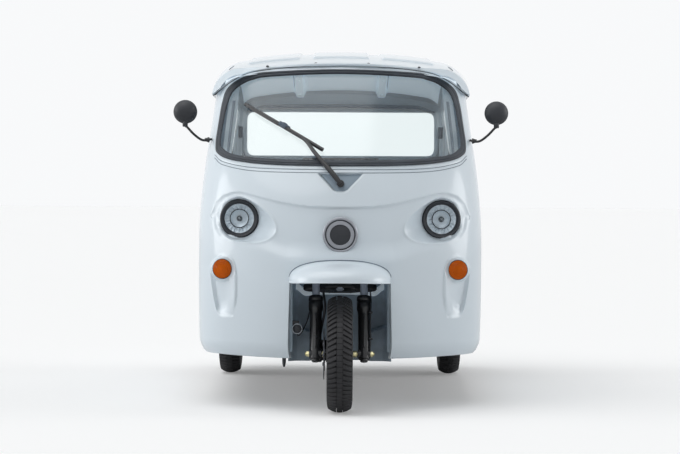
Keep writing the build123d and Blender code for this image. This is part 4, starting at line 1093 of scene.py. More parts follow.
def horn_unit():
    """A small disc horn with a bright rim on its bracket at the well's side, and its terminal block."""
    place = at(-0.184, 0.015, 0.358)
    rings = [(0, 0), (8, 0), (8.5, -2), (12, -3), (15, -1), (18.5, -3), (20.5, -6), (20.5, -14), (18, -18),
             (15, -26), (0, -26)]
    rim = [(19, -3.5), (20.5, -1), (22.5, -3), (22.8, -10), (20.5, -12)]
    arm = soft_box(at(-0.229, 0.031, 0.345), at(-0.176, 0.036, 0.392), 0.0022)
    block = soft_box(at(-0.193, 0.041, 0.338), at(-0.175, 0.062, 0.356), 0.003)
    piece("horn_unit", trim_black, turned(rings, steps=40, place=place), arm, block, replaces=["horn"])
    piece("horn_rim", chrome, turned(rim, steps=40, place=place))
    route = [(-184, 52, 340), (-181, 30, 330), (-171, 15, 334), (-157, 40, 356), (-140, 120, 394),
             (-130, 220, 440), (-126, 320, 470)]
    piece("horn_lead", trim_black, swept(rounded_line([at(*p) for p in mm(route)]), 0.003, 8))


def brake_hose():
    """The brake hose from the caliper to its union on the crown, and the sensor's lead with its clips."""
    # Routes in millimetres: x, behind the axle, above the axle.
    hose_route = [(-87, 88, 52), (-84, 82, 80), (-76, 70, 125), (-66.5, 62, 175), (-64.5, 72, 215),
                  (-70, 92, 248), (-74, 104, 270)]
    lead_route = [(130, -12, 20), (133, 4, 60), (132.2, 20, 110), (132.5, 42, 170), (135, 68, 225),
                  (130, 92, 275)]
    hose, lead = ([at(x, u, AXLE_Z + z) for x, u, z in mm(route)] for route in (hose_route, lead_route))
    union = [(0, -10), (7, -10), (7.5, -6), (6.2, 6), (0, 6)]
    unions = [turned(union, "Z", 16, p) for p in (hose[0], hose[-1])]
    piece("brake_hose", trim_black, swept(rounded_line(hose), 0.0052), *unions, body="steering")
    line = rounded_line(lead)
    clip = soft_box((-0.009, -0.006, -0.004), (0.009, 0.006, 0.004), 0.002)
    clips = [moved(clip, Matrix.Translation(line[i]) @ LEAN) for i in (9, 25)]
    piece("sensor_lead", trim_black, swept(line, 0.0028, 8), *clips, body="steering")


def skirt_buffer():
    """A tapered rubber buffer that hangs under the skirt's bracket."""
    peg = [(0, 30), (8, 30), (8.5, 4), (8.2, -10), (6, -22), (4, -30), (0, -31)]
    stay = soft_box(at(-0.252, 0.06, COWL_LOW + 0.022), at(-0.226, 0.075, COWL_LOW + 0.05), 0.002)
    piece("skirt_buffer", trim_black, turned(peg, "Z", 24, at(-0.241, 0.066, COWL_LOW - 0.008)), stay)


# ---------------------------------------------------------------- windshield wiper and mirrors
def wiper_set():
    """The wiper: a tapering arm from a capped pivot, a hinged clip, and a blade with its rubber and yoke."""
    route = mm([(0, 985), (-50, 1047), (-112, 1119), (-151, 1170), (-200, 1206), (-262, 1242.5)])
    stations = rounded_line(route, 10)
    t = np.linspace(0, 1, len(stations))
    width = np.interp(t, [0, 0.12, 0.45, 1], [0.0105, 0.0115, 0.0085, 0.0055])
    across = (0, 1, 0)
    parts = [swept(along_nose(stations, 0.016 + 0.012 * np.sin(t * pi) ** 0.8), width, 12, up=across)]
    boss = [(0, -30), (15, -30), (16.5, -20), (16.5, -2), (15, 3), (11, 5.5), (0, 6.5)]
    parts.append(turned(boss, steps=36, place=on_nose(0.0, 0.985, 0.014)))
    ends = np.array([(-0.4245, 1.3385), (-0.0775, 1.1315)])
    run = ends[0] + (ends[1] - ends[0]) * np.linspace(0, 1, 30)[:, None]
    for proud, thick in ((0.0045, 0.0048), (0.0105, 0.0088), (0.0175, 0.0064)):
        parts.append(swept(along_nose(run, proud), thick, 8, up=across))
    parts.append(swept(along_nose(run[2:13] + np.array([0.006, -0.0105]), 0.021), 0.0042, 8, up=across))
    piece("wiper_arm_blade", gloss_black, *parts, slot="black_plastic", replaces=["wiper"])
    slope = atan2(ends[1][1] - ends[0][1], ends[1][0] - ends[0][0])
    place = Matrix.Translation(on_nose(-0.247, 1.2385, 0.024)) @ Matrix.Rotation(-slope, 4, "Y")
    clip = [soft_box((-0.027, -0.006, -0.0095), (0.027, 0.006, 0.0095), 0.003),
            soft_box((-0.012, -0.01, -0.013), (0.01, 0.004, 0.013), 0.003)]
    screw = bolt(place @ Vector((0.006, -0.01, 0)), (0, -1, 0), 9, 3)
    piece("wiper_clip", header_grey, moved(joined(*clip), place), screw)


def mirror(side, name):
    """A round mirror: a domed shell with a seam and a rim, the glass behind, and a bent arm with its foot."""
    x, u, z, radius = side * 0.695, 0.35, 1.305, 0.053
    dome = [(0, 20), (12, 19.5), (26, 16.5), (38, 10.5), (46.5, 2), (50.5, -6), (51.5, -8.5), (53, -9.5),
            (53, -17), (51.8, -19), (50, -19.5), (48, -18), (47.8, -16), (0, -16)]
    swivel = turned([(0, -12), (10.5, -12), (12, -6), (12, 10), (8.5, 16), (0, 16)], "Z", 24,
                    at(x, u + 0.004, z - radius - 0.002))
    piece(f"mirror_head_{name}", trim_black, turned(dome, steps=64, place=at(x, u, z)), swivel,
          replaces=["mirrors"] if side > 0 else ())
    face = [(0, -16.6), (47.8, -16.6), (47.8, -17.6), (30, -18), (0, -18.4)]
    piece(f"mirror_glass_{name}", chrome, turned(face, place=at(x, u, z)))
    route = mm([(693, 356, 1244), (682, 358, 1232), (658, 374, 1206), (628, 392, 1183), (605, 399, 1179),
                (580, 410, 1185)])
    line = rounded_line([at(side * rx, ru, rz) for rx, ru, rz in route], 9)
    radii = np.full(len(line), 0.0055)
    radii[:5] = 0.0075
    boot = turned([(0, 0), (12, 0), (12.5, 3), (10.5, 8), (8.5, 13), (8, 20), (0, 20)], "Z", 24)
    boot = moved(boot, Matrix.Translation(at(side * 0.5905, 0.405, 1.1815)) @ standing((side, -0.25, 0)))
    piece(f"mirror_arm_{name}", gloss_black, swept(line, radii, 12), boot, slot="black_plastic")


# ---------------------------------------------------------------- inside the cab
# The roof's middle line: places u, and the inner skin's height and the half width there.
ROOF_U = [0.15, 0.34, 0.6, 0.9, 1.3, 1.8, 2.2, 2.56]
ROOF_INNER_Z = [1.399, 1.489, 1.541, 1.575, 1.601, 1.579, 1.52, 1.43]
ROOF_HALF = [0.56, 0.578, 0.592, 0.6, 0.604, 0.598, 0.585, 0.566]
ROOF_THICKNESS = 0.025
ROOF_SHOULDER = 0.105
roof_inner_z = natural_spline(ROOF_U, ROOF_INNER_Z)
roof_half = natural_spline(ROOF_U, ROOF_HALF)


def sagitta(radius, x):
    """How far an arc of a radius falls at a distance x from its top."""
    return radius - np.sqrt(np.maximum(radius**2 - x**2, 0))


def roof_crown(x, u):
    """How far the roof's shallow crown falls at x, up to its shoulders, and how far x is past them."""
    flat, drop = roof_half(u) - 0.13, 0.037
    fall = sagitta((flat**2 + drop**2) / (2 * drop), np.minimum(np.abs(x), flat))
    return fall, np.maximum(np.abs(x) - flat, 0)


def ceiling_z(x, u, gap):
    """The height of the roof's inner skin at x and u, gap below it."""
    fall, over = roof_crown(x, u)
    shoulder = sagitta(ROOF_SHOULDER, np.minimum(over, ROOF_SHOULDER))
    return roof_inner_z(u) - fall - gap - shoulder - over * 0.15


def roof_at(x, u):
    """The roof's outer skin at x within its shoulders and u."""
    return roof_inner_z(u) + ROOF_THICKNESS - roof_crown(x, u)[0]


def headliner():
    """Moulded ceiling panels: two at the sides and one between the roof channels."""
    parts = []
    front, rear = 0.4, 2.26
    for low, high in ((-0.52, -0.25), (-0.187, 0.187), (0.25, 0.52)):
        x, u = np.meshgrid(np.linspace(low, high, 34), np.linspace(front, rear, 60))
        sides = smooth(np.minimum(x - low, high - x) / 0.012)
        sink = 0.0065 * sides * smooth((u - front) / 0.03) * smooth((rear - u) / 0.03)
        parts.append(sheet(x, u, ceiling_z(x, u, 0.003) - sink, 0.002))
    # The ceiling panels' finish glows: painted light.
    piece("headliner", headliner_painted_glow, *parts)


def ceiling_channels():
    """The two pressed channels that run the length of the ceiling, with flanges and bolts."""
    half = mm([(-31.5, 1), (-24, 2), (-20, 16), (-17, 23.5)])
    across, drop = np.array(half + [(-x, z) for x, z in reversed(half)]).T
    parts = []
    for side in (-1, 1):
        middle = side * 0.2185
        x, u = np.meshgrid(middle + across, np.linspace(0.52, 2.3, 60))
        parts.append(sheet(x, u, ceiling_z(middle, u, 0.0) - drop, 0.0018))
        for bolt_u in (0.62, 1.05, 1.48, 1.91, 2.24):
            place = at(middle, bolt_u, ceiling_z(middle, bolt_u, 0.0) - max(drop))
            parts.append(bolt(place, (0, 0, -1), 10, 5, 9))
    # The channels share the ceiling's glowing finish: painted light.
    piece("ceiling_channels", headliner_painted_glow, *parts, replaces=["roof_ribs"])


def rear_header_shade():
    """The dark rounded strip over the rear window: painted shade for the shadow under the roof's rear edge.
    """
    strip = []
    for x in np.linspace(-0.5, 0.5, 61):
        z = 1.418 - 0.0035 * (x / 0.3) ** 2 - 0.02 * smooth((abs(x) - 0.4) / 0.1)
        half = 0.011 * (1 - 0.55 * smooth((abs(x) - 0.42) / 0.08))
        lead = 0.02 + 0.05 * smooth((abs(x) - 0.36) / 0.14)
        section = [(2.318 - lead, -1), (2.31 - lead, -0.7), (2.307 - lead, 0), (2.311 - lead, 0.8),
                   (2.322 - lead, 1), (2.345, 1), (2.345, -1)]
        strip.append([at(x, u, z + part * half) for u, part in section])
    # Its dark finish paints the shade under the roof's rear edge.
    piece("rear_header_shade", header_grey, ring_skin(strip))


def rear_surround():
    """The pressed frame round the rear window's inside, with rounded corners and a lip."""
    corners = cornered([(0.506, 1.386), (0.506, 1.152), (-0.506, 1.152), (-0.506, 1.386)], 0.042, 8)
    section = ((0, 2.362), (0, 2.352), (0.006, 2.347), (0.024, 2.347), (0.03, 2.352), (0.03, 2.362))
    out = [Vector((x, z - 1.269)).normalized() for x, z in corners]
    rings = [[at(x + o.x * wide, u, z + o.y * wide) for (x, z), o in zip(corners, out)]
             for wide, u in section]
    piece("rear_window_frame", paint, ring_skin(rings, closed=True))


def quarter_trims():
    """Inside the cab's rear corners: a ribbed panel, a belt bracket with its bolts, and the post's liner."""
    for side, name in SIDES:
        z, t = np.meshgrid(np.linspace(0.98, 1.395, 40), np.linspace(0, 1, 30), indexing="ij")
        x = 0.574 - 0.01 * smooth((t - 0.55) / 0.12) - 0.016 * smooth((t - 0.8) / 0.1)
        x = x - 0.01 * smooth((z - 1.3) / 0.1) - 0.014
        fold = 0.004 * np.sin(np.clip((t - 0.08) / 0.16, 0, 1) * pi)
        fold += 0.005 * np.sin(np.clip((t - 0.32) / 0.2, 0, 1) * pi)
        piece(f"quarter_trim_{name}", liner_light, sheet(side * (x - fold), 1.9 + 0.425 * t, z, 0.002, side))
        middle = side * 0.536
        bracket = soft_box(at(middle - 0.014, 2.24, 1.245), at(middle + 0.01, 2.275, 1.305))
        bolts = [bolt(at(middle, 2.24, h), (0, -1, 0), 14, 6, 10) for h in (1.262, 1.289)]
        piece(f"belt_bracket_{name}", header_grey, bracket, *bolts, slot="black_steel")
        section = np.array(mm([(0, 1146.5), (16, 1139), (34, 1144.5), (52, 1138.5), (64, 1140)]))
        z = np.linspace(0.36, 1.392, 60)[:, None]
        x = Plan(z).side_x - 0.074 + section[:, 0]
        u = np.broadcast_to(section[:, 1], x.shape)
        liner = np.stack([side * x, y_at(u), np.broadcast_to(z, x.shape)], axis=-1)[:, ::-side]
        piece(f"post_liner_{name}", post_grey, shell_of(liner, 0.0015))


def instrument_hump():
    """The soft top of the dash: a low rounded binnacle behind the windshield's lower edge."""
    half = 0.158
    x, t = np.meshgrid(np.linspace(-half, half, 50), np.linspace(0, 1, 20))
    edge = np.clip((half - np.abs(x)) / 0.03, 0, 1)
    rise = np.sqrt(1 - (1 - edge) ** 2) * np.sin(np.clip(0.12 + t, 0, 1) * pi / 2) ** 0.6
    u = 0.118 + t * 0.112 + 0.004 * (1 - edge)
    piece("instrument_binnacle", header_grey, sheet(x, u, 1.038 + 0.059 * rise, 0.003, -1))


# ---------------------------------------------------------------- the windshield and the roof
def screen_surround():
    """The painted flange round the windshield's rubber."""
    base = rounded_loop(both_halves(SEAL_OUT), 14)
    wide = 0.0165
    rings = []
    section = [(-0.004, -0.016), (-0.004, -0.001), (0.002, 0.0012), (wide - 0.003, 0.0012), (wide, 0),
               (wide, -0.016)]
    for grow, proud in section:
        loop = base + outward(base) * grow
        rings.append(on_nose(np.clip(loop[:, 0], -0.58, 0.58), loop[:, 1], proud))
    piece("screen_surround", paint, ring_skin(np.stack(rings, axis=1), closed=True))


def rings_to_pane(rows, lift):
    """A closed pane from rings that shrink towards its middle: lift moves its points to the back skin."""
    count, total = len(rows[0]), len(rows) * len(rows[0])
    front = grid_faces(len(rows), count, around=True) + [tuple(total - count + c for c in range(count))]
    faces = front + [tuple(i + total for i in reversed(f)) for f in front]
    faces += [(c, (c + 1) % count, (c + 1) % count + total, c + total) for c in range(count)]
    points = np.concatenate(rows)
    return np.concatenate([points, points + (0, lift, 0)]), faces


def windshield_pane():
    """The bowed windshield, its edge under the rubber."""
    middle = np.array([0.0, 1.285])
    within, outside = (rounded_loop(both_halves(edge), 10) for edge in (SEAL_IN, SEAL_OUT))
    edge = within + (outside - within) * 0.35 - middle
    parts = (1.0, 0.85, 0.7, 0.55, 0.4, 0.27, 0.14, 0.05)
    rows = [along_nose(middle + edge * part, -0.0075) for part in parts]
    piece("windshield_pane", glass, rings_to_pane(rows, 0.005), replaces=["windshield_glass"])


def pit_panel():
    """The dark plate that lines the wiper's pit."""
    outline = np.array(PIT)
    middle = outline.mean(axis=0)
    loops = [cornered(middle + (outline - middle) * part, 0.006) for part in (0.97, 0.75, 0.5, 0.25)]
    piece("pit_panel", pit_grey, rings_to_pane([along_nose(loop, -0.0085) for loop in loops], 0.003))


def roof_edge():
    """The roof's rolled front lip over the windshield, and a dark tube under it that paints the shade in the
    gap.
    """
    half = np.array(mm([(-585, 1390), (-570, 1399), (-545, 1414), (-500, 1444), (-440, 1476), (-370, 1493),
                        (-200, 1508), (0, 1513)]))
    line = rounded_line(np.vstack([half, half[-2::-1] * np.array([-1, 1])]), 10)
    # The second, thin dark tube is painted shade in the gap under the lip.
    for name, finish, rise, proud, radius, sides in (("roof_lip", paint, 0.006, 0.004, 0.0065, 10),
                                                     ("roof_gap_shade", seal_rubber, -0.0005, 0.0005, 0.0026, 8)):
        edge = on_nose(np.clip(line[:, 0], -0.571, 0.571), line[:, 1] + rise, proud)
        edge[:, 0] = line[:, 0]
        piece(name, finish, swept(edge, radius, sides))


def roof_top():
    """Three long raised pads pressed into the roof, its fixing screws, and two oval plugs in front."""
    pads = []
    front, rear = 0.56, 2.18
    for low, high in ((-0.43, -0.18), (-0.136, 0.136), (0.18, 0.43)):
        x, u = np.meshgrid(np.linspace(low, high, 60), np.linspace(front, rear, 160))
        edge = np.minimum(np.minimum(x - low, high - x) / 0.014, np.minimum(u - front, rear - u) / 0.02)
        pads.append(sheet(x, u, roof_at(x, u) + 0.0115 * smooth(edge) - 0.0035, 0.002))
    piece("roof_pads", paint, *pads)
    screws = [bolt(at(x, u, roof_at(x, u) - 0.0005), (0, -0.45, 1), 10, 4, 7)
              for x, u in ((-0.33, 0.395), (-0.113, 0.38), (0.123, 0.38), (0.35, 0.397))]
    piece("roof_screws", trim_black, *screws)
    plugs = []
    shape = turned([(0, 0), (7.5, 0), (8, 2), (6, 4.5), (0, 5)], "Z", 28)
    for side in (-1, 1):
        x, u = side * 0.495, 0.5
        lean = Matrix.Rotation(side * radians(38), 4, "Y") @ Matrix.Diagonal((2.0, 1.0, 1.0, 1.0))
        plugs.append(moved(shape, Matrix.Translation(at(x, u, roof_at(x, u) - 0.006)) @ lean))
    piece("roof_plugs", satin_metal, *plugs)


def door_trims():
    """The dark rubber that edges the doorway from the skirt up the nose's rear edge and the pillar."""
    belt_z = 1.112
    for side, name in SIDES:
        z = np.concatenate([np.linspace(0.236, belt_z, 60), np.linspace(1.122, 1.392, 24)])
        u = COWL_BACK_U + np.maximum(z - belt_z, 0) / 0.286 * 0.075 + 0.0035
        plan = Plan(z)
        x = plan.point(plan.length_to_u(u))[0] - tuck(z) + 0.0005
        line = np.stack([side * x, y_at(u), z], axis=-1)
        piece(f"door_trim_{name}", seal_rubber, swept(line, 0.0045, 8, up=(0, 1, 0)))


# ---------------------------------------------------------------- the tail and the wheels' outsides
def banded_lens(low, high):
    """A tail lamp's lens between two heights: coloured fields, dark joints and fine upright ribs."""
    shader = Shader("tail_lens", Roughness=0.16)
    place = shader.node("TexCoord").outputs["Object"]
    height = shader.node("SeparateXYZ", {"Vector": place}).outputs["Z"]
    height = shader.node("MapRange", {"From Min": low, "From Max": high, "Value": height}).outputs["Result"]
    fields = shader.node("ValToRGB", {"Fac": height})
    fields.color_ramp.interpolation = "CONSTANT"
    stops = fields.color_ramp.elements
    red, orange = linear(168, 14, 16), linear(206, 96, 10)
    joint, frost = linear(26, 26, 30), linear(206, 210, 214)
    stops[0].position, stops[0].color = 0.0, frost
    stops[1].position, stops[1].color = 0.2, joint
    for position, colour in ((0.22, red), (0.62, joint), (0.64, orange)):
        stops.new(position).color = colour
    shader.set("Base Color", fields.outputs["Color"])
    ribs = shader.node("TexWave", {"Scale": 55.0, "Vector": place}, bands_direction="X")
    shader.bump(ribs.outputs["Fac"], 0.0008, 0.7)
    return shader.material


def tail_fittings():
    """The tail lamps' bezels, the tailgate's seam and hinges, a blank plate, and the bumper's pads."""
    panel = frame["nodes"]["rear_panel"].data
    corners = [v.co.copy() for v in panel.vertices]
    tree = BVHTree.FromPolygons(corners, [list(p.vertices) for p in panel.polygons])

    def rear_y(x, z):
        """The tail's outer surface at a half width x and a height z, by a ray cast on the rear panel."""
        hit = tree.ray_cast(Vector((min(x, 0.66), 3.0, z)), Vector((0, -1, 0)))[0]
        return hit.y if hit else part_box("rear_panel")[1].y

    def block(x, half, z0, z1, y, rise, bevel=0.003, sunk=0.002, segments=3):
        """A block with rounded edges, half as wide each way from x, that stands by rise on a face at y."""
        return soft_box((x - half, y - sunk, z0), (x + half, y + rise, z1), bevel, segments)

    low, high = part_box("tail_lamps")
    lamps = frame["nodes"]["tail_lamps"].data
    lamps.materials[0] = banded_lens(low.z, high.z)
    inner = min(v.co.x for v in lamps.vertices if v.co.x > 0) - 0.004
    x1, z0, z1 = high.x - 0.012, low.z - 0.005, high.z + 0.005
    ring = cornered([(inner, z0), (x1, z0), (x1, z1), (inner, z1)], 0.014)
    lines = [[(side * x, rear_y(x, z) + 0.004, z) for x, z in ring] for side in (-1, 1)]
    piece("tail_bezels", trim_black, *(swept(line, 0.005, 8, closed=True, up=(0, 1, 0)) for line in lines))
    seam = cornered([(0.52, 0.455), (0.52, 1.1), (-0.52, 1.1), (-0.52, 0.455)], 0.05, 8)
    path = [(x, rear_y(abs(x), z) + 0.0004, z) for x, z in seam]
    piece("tailgate_seam", seam_grey, swept(path, 0.0024, 6, closed=True, up=(0, 1, 0)))
    plate_y = rear_y(0.0, 0.66)
    piece("plate_board", liner_light, block(0, 0.17, 0.56, 0.68, plate_y, 0.006))
    lamp = block(0, 0.05, 0.7, 0.722, plate_y, 0.026, 0.006)
    handle = block(0, 0.075, 0.935, 0.975, rear_y(0, 0.95), 0.01, 0.008)
    hinge_y = rear_y(0.33, 1.1)
    hinges = [block(x, 0.03, 1.086, 1.112, hinge_y, 0.012, 0.004, 0.003) for x in (-0.33, 0.33)]
    piece("tailgate_fittings", trim_black, lamp, handle, *hinges)
    low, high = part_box("rear_bumper")
    z0, z1 = low.z + 0.012, high.z - 0.012
    pads = [block(x, 0.022, z0, z1, high.y, 0.008, 0.006, 0.004, 4) for x in (-0.36, 0.36)]
    piece("bumper_pads", seal_rubber, *pads)
    reflectors = [block(x, 0.045, 0.338, 0.368, high.y, 0.004) for x in (-0.5, 0.5)]
    piece("rear_reflectors", red_lens, *reflectors)


def wheel_outside(name, side):
    """What shows on a rear wheel's outer face: a pressed hub cap and five nuts."""
    x = side * 0.59
    profile = [(0, 20), (18, 19), (27, 13), (30, 2), (34, -1), (34, -6), (0, -6)]
    cap = turned([(radius, side * along) for radius, along in profile], "X", 48, at(x, WHEELBASE, AXLE_Z))
    nuts = []
    for i in range(5):
        a = pi / 2 + i * 2 * pi / 5
        place = (x - side * 0.002, y_at(WHEELBASE) + 0.054 * cos(a), AXLE_Z + 0.054 * sin(a))
        nuts.append(bolt(place, (side, 0, 0), 17, 11, 12))
    piece(f"rear_{name}_cap", satin_metal, cap, *nuts, body=f"rear_{name}_wheel")


# ---------------------------------------------------------------- the seats
PAD_PRESSURE = 4.0
PAD_FRAMES = 20
PAD_TRAVEL = 0.024
PIPING_R = 0.0032
GROOVE = 0.0085


def pad_frame(node, upright):
    """A seat node's box in the pad's own axes (across, along, out), and the way back to the shared frame."""
    low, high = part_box(node)
    if not upright:
        return np.array(low), np.array(high), lambda p: p
    turn_back = lambda p: np.stack([p[..., 0], -p[..., 2], p[..., 1]], axis=-1)
    return np.array([low.x, low.z, -high.y]), np.array([high.x, high.z, -low.y]), turn_back


def mesh_points(mesh):
    flat = np.empty(len(mesh.vertices) * 3)
    mesh.vertices.foreach_get("co", flat)
    return flat.reshape(-1, 3)


def evaluated(target):
    """The target's mesh with its modifiers applied, which are then taken off."""
    mesh = bpy.data.meshes.new_from_object(target.evaluated_get(bpy.context.evaluated_depsgraph_get()))
    target.modifiers.clear()
    return mesh


def with_modifier(target, kind, **settings):
    """Applies one modifier to the target's mesh."""
    modifier = target.modifiers.new(kind.lower(), kind)
    for key, value in settings.items():
        setattr(modifier, key, value)
    target.data = evaluated(target)


def inflated(target):
    """Blows a pad up with Blender's cloth, its travel capped."""
    start = mesh_points(target.data)
    modifier = target.modifiers.new("cloth", "CLOTH")
    settings = modifier.settings
    settings.use_pressure = True
    settings.uniform_pressure_force = PAD_PRESSURE
    settings.effector_weights.gravity = 0
    settings.tension_stiffness = settings.compression_stiffness = 12
    settings.bending_stiffness = 4
    settings.quality = 5
    modifier.point_cache.frame_start, modifier.point_cache.frame_end = 1, PAD_FRAMES
    scene = bpy.context.scene
    for step in range(1, PAD_FRAMES + 1):
        scene.frame_set(step)
    swollen = evaluated(target)
    scene.frame_set(1)
    move = mesh_points(swollen) - start
    far = np.linalg.norm(move, axis=1, keepdims=True)
    return start + move * np.minimum(1, PAD_TRAVEL / np.maximum(far, 1e-9))


def stitch_row(line):
    """A sewn seam: short raised stitches with gaps along a line."""
    made = []
    for start, end in zip(line[:-1], line[1:]):
        start, run = np.asarray(start), np.asarray(end) - start
        arch = [start + run * 0.12, start + run * 0.5 + (0, 0, 0.0008), start + run * 0.84]
        made.append(swept(arch, 0.0011, 5))
    return made


def seat_pad(name, node, upright, channels, panels, voxel):
    """A stuffed pad in place of its plain solid: swollen, crowned, with sewn channels and piped edges."""
    low, high, back = pad_frame(node, upright)
    size = high - low
    core = soft_box(tuple(low + (0.01, 0.01, 0.0)), tuple(high - (0.01, 0.01, 0.018)), min(size) * 0.36, 5)
    mesh = bpy.data.meshes.new(name)
    mesh.from_pydata(core[0], [], core[1])
    target = bpy.data.objects.new(name, mesh)
    bpy.context.collection.objects.link(target)
    with_modifier(target, "REMESH", mode="VOXEL", voxel_size=voxel, use_smooth_shade=True)
    points = inflated(target)
    middle, half = (low + high) / 2, size / 2
    across, along = (points[:, 0] - middle[0]) / half[0], (points[:, 1] - middle[1]) / half[1]
    out = (points[:, 2] - low[2]) / size[2]
    points[:, 0] -= np.sign(across) * 0.009 * (1 - along**2) * smooth((np.abs(across) - 0.8) / 0.2)
    points[:, 1] -= np.sign(along) * 0.007 * (1 - across**2) * smooth((np.abs(along) - 0.7) / 0.3)
    crown = np.clip(1 - np.abs(across) ** 4, 0, 1) * np.clip(1 - np.abs(along) ** 4, 0, 1)
    points[:, 2] += 0.013 * crown * smooth((out - 0.45) / 0.4)
    # Channels run across the pad, panels divide it sideways: each seam is its axis and its place on it.
    seams = [(1, place) for place in channels] + [(0, place) for place in panels]
    for axis, place in seams:
        away = (points[:, axis] - middle[axis] - place * half[axis]) / GROOVE
        points[:, 2] -= GROOVE * np.exp(-(away**2)) * smooth((out - 0.5) / 0.3)
    points = np.clip(points, low - (0.003, 0.003, 0), high + (0.003, 0.003, 0.01))
    target.data.vertices.foreach_set("co", points.ravel())
    with_modifier(target, "SUBSURF", levels=1, render_levels=1)
    final = mesh_points(target.data)
    tree = BVHTree.FromPolygons([Vector(p) for p in final], [list(f.vertices) for f in target.data.polygons])

    def over(x, y, proud):
        """The pad's upper surface at x and y, with a point proud of it."""
        hit = tree.ray_cast(Vector((x, y, high[2] + 0.2)), Vector((0, 0, -1)))[0]
        return x, y, (hit.z if hit else low[2] + size[2] * 0.7) + proud

    inset = 0.022
    x0, y0, x1, y1 = *(low[:2] + inset), *(high[:2] - inset)
    corners = np.asarray(cornered([(x0, y0), (x1, y0), (x1, y1), (x0, y1)], 0.03, 8))
    rim = []
    for start, end in zip(corners, np.roll(corners, -1, axis=0)):
        steps = max(1, int(np.linalg.norm(end - start) / 0.015))
        rim += [over(*(start + (end - start) * k / steps), PIPING_R * 0.35) for k in range(steps)]
    stitches = []
    for axis, place in seams:
        fixed = middle[axis] + place * half[axis]
        run = np.arange(low[1 - axis] + inset, high[1 - axis] - inset, 0.012)
        stitches += stitch_row([over(*((v, fixed) if axis else (fixed, v)), 0.0004) for v in run])
    target.data.vertices.foreach_set("co", back(final).ravel())
    pad = dressed(target.data, name, vinyl, 60, replaces=[node])
    bpy.data.objects.remove(target)
    for part, finish, (vertices, faces) in (("piping", piping, swept(rim, PIPING_R, 8, closed=True)),
                                            ("stitching", thread, joined(*stitches))):
        piece(f"{name}_{part}", finish, (back(np.asarray(vertices)), faces))


cowl_skin()
wheel_visor()
windshield_rubber()
belt_seams()
for side, name in SIDES:
    headlamp(side, name)
    indicator_lamp(side, name)
nose_roundel()
tyre("front_tyre_tread", at(0, 0, AXLE_Z), "front_wheel", "front_tyre")
for side, name in SIDES:
    place = at(side * REAR_TRACK_HALF, WHEELBASE, AXLE_Z)
    tyre(f"rear_{name}_tyre_tread", place, f"rear_{name}_wheel", f"rear_{name}_tyre")
wheel_liner()
well_bridge()
horn_unit()
for side, name in SIDES:
    fork_leg(side, name)
fork_head()
front_axle_fittings()
brake_parts()
brake_hose()
skirt_buffer()
wiper_set()
for side, name in SIDES:
    mirror(side, name)
headliner()
ceiling_channels()
rear_header_shade()
rear_surround()
quarter_trims()
instrument_hump()
screen_surround()
windshield_pane()
roof_edge()
roof_top()
door_trims()
pit_panel()
tail_fittings()
for side, name in SIDES:
    wheel_outside(name, side)
for name, node, upright, channels, panels, voxel in (
    ("driver_seat_pad", "driver_cushion", False, (-0.45, 0.05, 0.55), (), 0.006),
    ("driver_back_pad", "driver_backrest", True, (-0.4, 0.15, 0.68), (), 0.006),
    ("bench_pad", "passenger_cushion", False, (-0.5, 0.1, 0.7), (0.0,), 0.009),
    ("bench_back_pad", "passenger_backrest", True, (-0.45, 0.1, 0.65), (0.0,), 0.009),
):
    seat_pad(name, node, upright, channels, panels, voxel)


# ---------------------------------------------------------------- studio
def world_light(toward_x, toward_camera, base, lean):
    """Soft daylight: brighter from the sides than from the camera's side, and a little from the left."""
    world = bpy.data.worlds.new("studio_world")
    bpy.context.scene.world = world
    sky = Nodes(world)

    def maths(operation, first, second):
        return sky.node("Math", {0: first, 1: second}, operation=operation).outputs[0]

    coords = sky.node("TexCoord").outputs["Generated"]
    axes = sky.node("SeparateXYZ", {0: coords}).outputs
    x, y = axes["X"], axes["Y"]
    sides = maths("MULTIPLY", maths("MULTIPLY", x, x), toward_x)
    front = maths("MULTIPLY", maths("MAXIMUM", maths("MULTIPLY", y, -1.0), 0.0), toward_camera)
    leaning = maths("MULTIPLY", x, -lean)
    strength = maths("ADD", maths("ADD", sides, leaning), maths("SUBTRACT", base, front))
    light = sky.tree.nodes["Background"]
    sky.feed(light.inputs["Color"], (0.97, 0.99, 1.0, 1))
    sky.feed(light.inputs["Strength"], strength)
    seen = sky.node("Background", {"Color": (0.94, 0.95, 0.96, 1)})
    path = sky.node("LightPath").outputs
    clear = maths("MAXIMUM", path["Is Camera Ray"], path["Is Transmission Ray"])
    clear = maths("MAXIMUM", clear, path["Is Glossy Ray"])
    sky.blend_to("World Output", clear, light.outputs["Background"], seen.outputs["Background"])


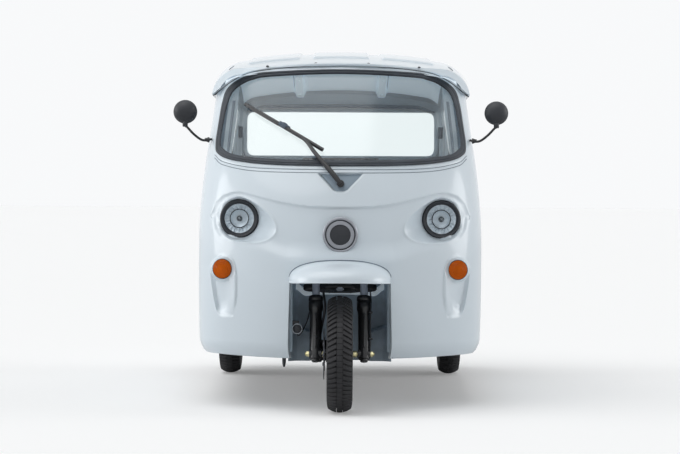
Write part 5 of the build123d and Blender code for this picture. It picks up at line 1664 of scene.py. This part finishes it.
def studio_floor(albedo, lift):
    """A wide pale floor that takes the shadow; the camera sees it a little lifted, like the backdrop."""
    bpy.ops.mesh.primitive_plane_add(size=400, location=(0, 0, 0))
    floor = bpy.context.object
    floor.name = "studio_floor"
    material = bpy.data.materials.new("studio_floor")
    made = Nodes(material)
    made.tree.nodes.remove(made.tree.nodes["Principled BSDF"])
    matt = made.node("BsdfDiffuse", {"Color": (albedo, albedo * 1.003, albedo * 1.006, 1)})
    camera_ray = made.node("LightPath").outputs["Is Camera Ray"]
    scaled = made.node("Math", {0: camera_ray, 1: lift}, operation="MULTIPLY")
    glow = made.node("Emission", {"Strength": scaled.outputs[0]})
    both = made.node("AddShader", {0: matt.outputs["BSDF"], 1: glow.outputs["Emission"]})
    made.feed(made.tree.nodes["Material Output"].inputs["Surface"], both.outputs["Shader"])
    floor.data.materials.append(material)


def broad_sun(name, strength, spread, heading):
    """A sun as wide as an overcast patch of sky, shining along heading."""
    sun = bpy.data.objects.new(name, bpy.data.lights.new(name, "SUN"))
    bpy.context.collection.objects.link(sun)
    sun.data.energy = strength
    sun.data.angle = radians(spread)
    sun.rotation_euler = Vector(heading).to_track_quat("-Z", "Y").to_euler()


def studio():
    """A pale floor and backdrop, soft daylight all round, and light from above and both sides."""
    studio_floor(albedo=0.8, lift=0.2)
    world_light(toward_x=0.22, toward_camera=0.42, base=0.44, lean=0.04)
    broad_sun("top_sun", 1.35, 60, (0.3, 0.32, -1.0))
    broad_sun("left_sun", 0.95, 35, (1.0, 0.05, -0.22))
    broad_sun("right_sun", 0.85, 35, (-1.0, 0.0, -0.22))


def camera():
    """The photograph's view: from straight ahead, nine metres away, a little under a metre up."""
    ahead_of_axle = 9.03
    height = 0.923
    focal_px = 2100
    frame_px = 680
    horizon_px = 198
    centre_px = 227
    roll = radians(-0.28)
    data = bpy.data.cameras.new("camera")
    data.sensor_width = 36
    data.lens = focal_px / frame_px * data.sensor_width
    view = bpy.data.objects.new("camera", data)
    bpy.context.collection.objects.link(view)
    view.location = (-0.002, y_at(-ahead_of_axle), height)
    drop = (centre_px - horizon_px) / focal_px
    view.rotation_euler = (pi / 2 - drop, roll, 0)
    bpy.context.scene.camera = view


studio()
camera()
bpy.context.scene.view_settings.view_transform = "Standard"
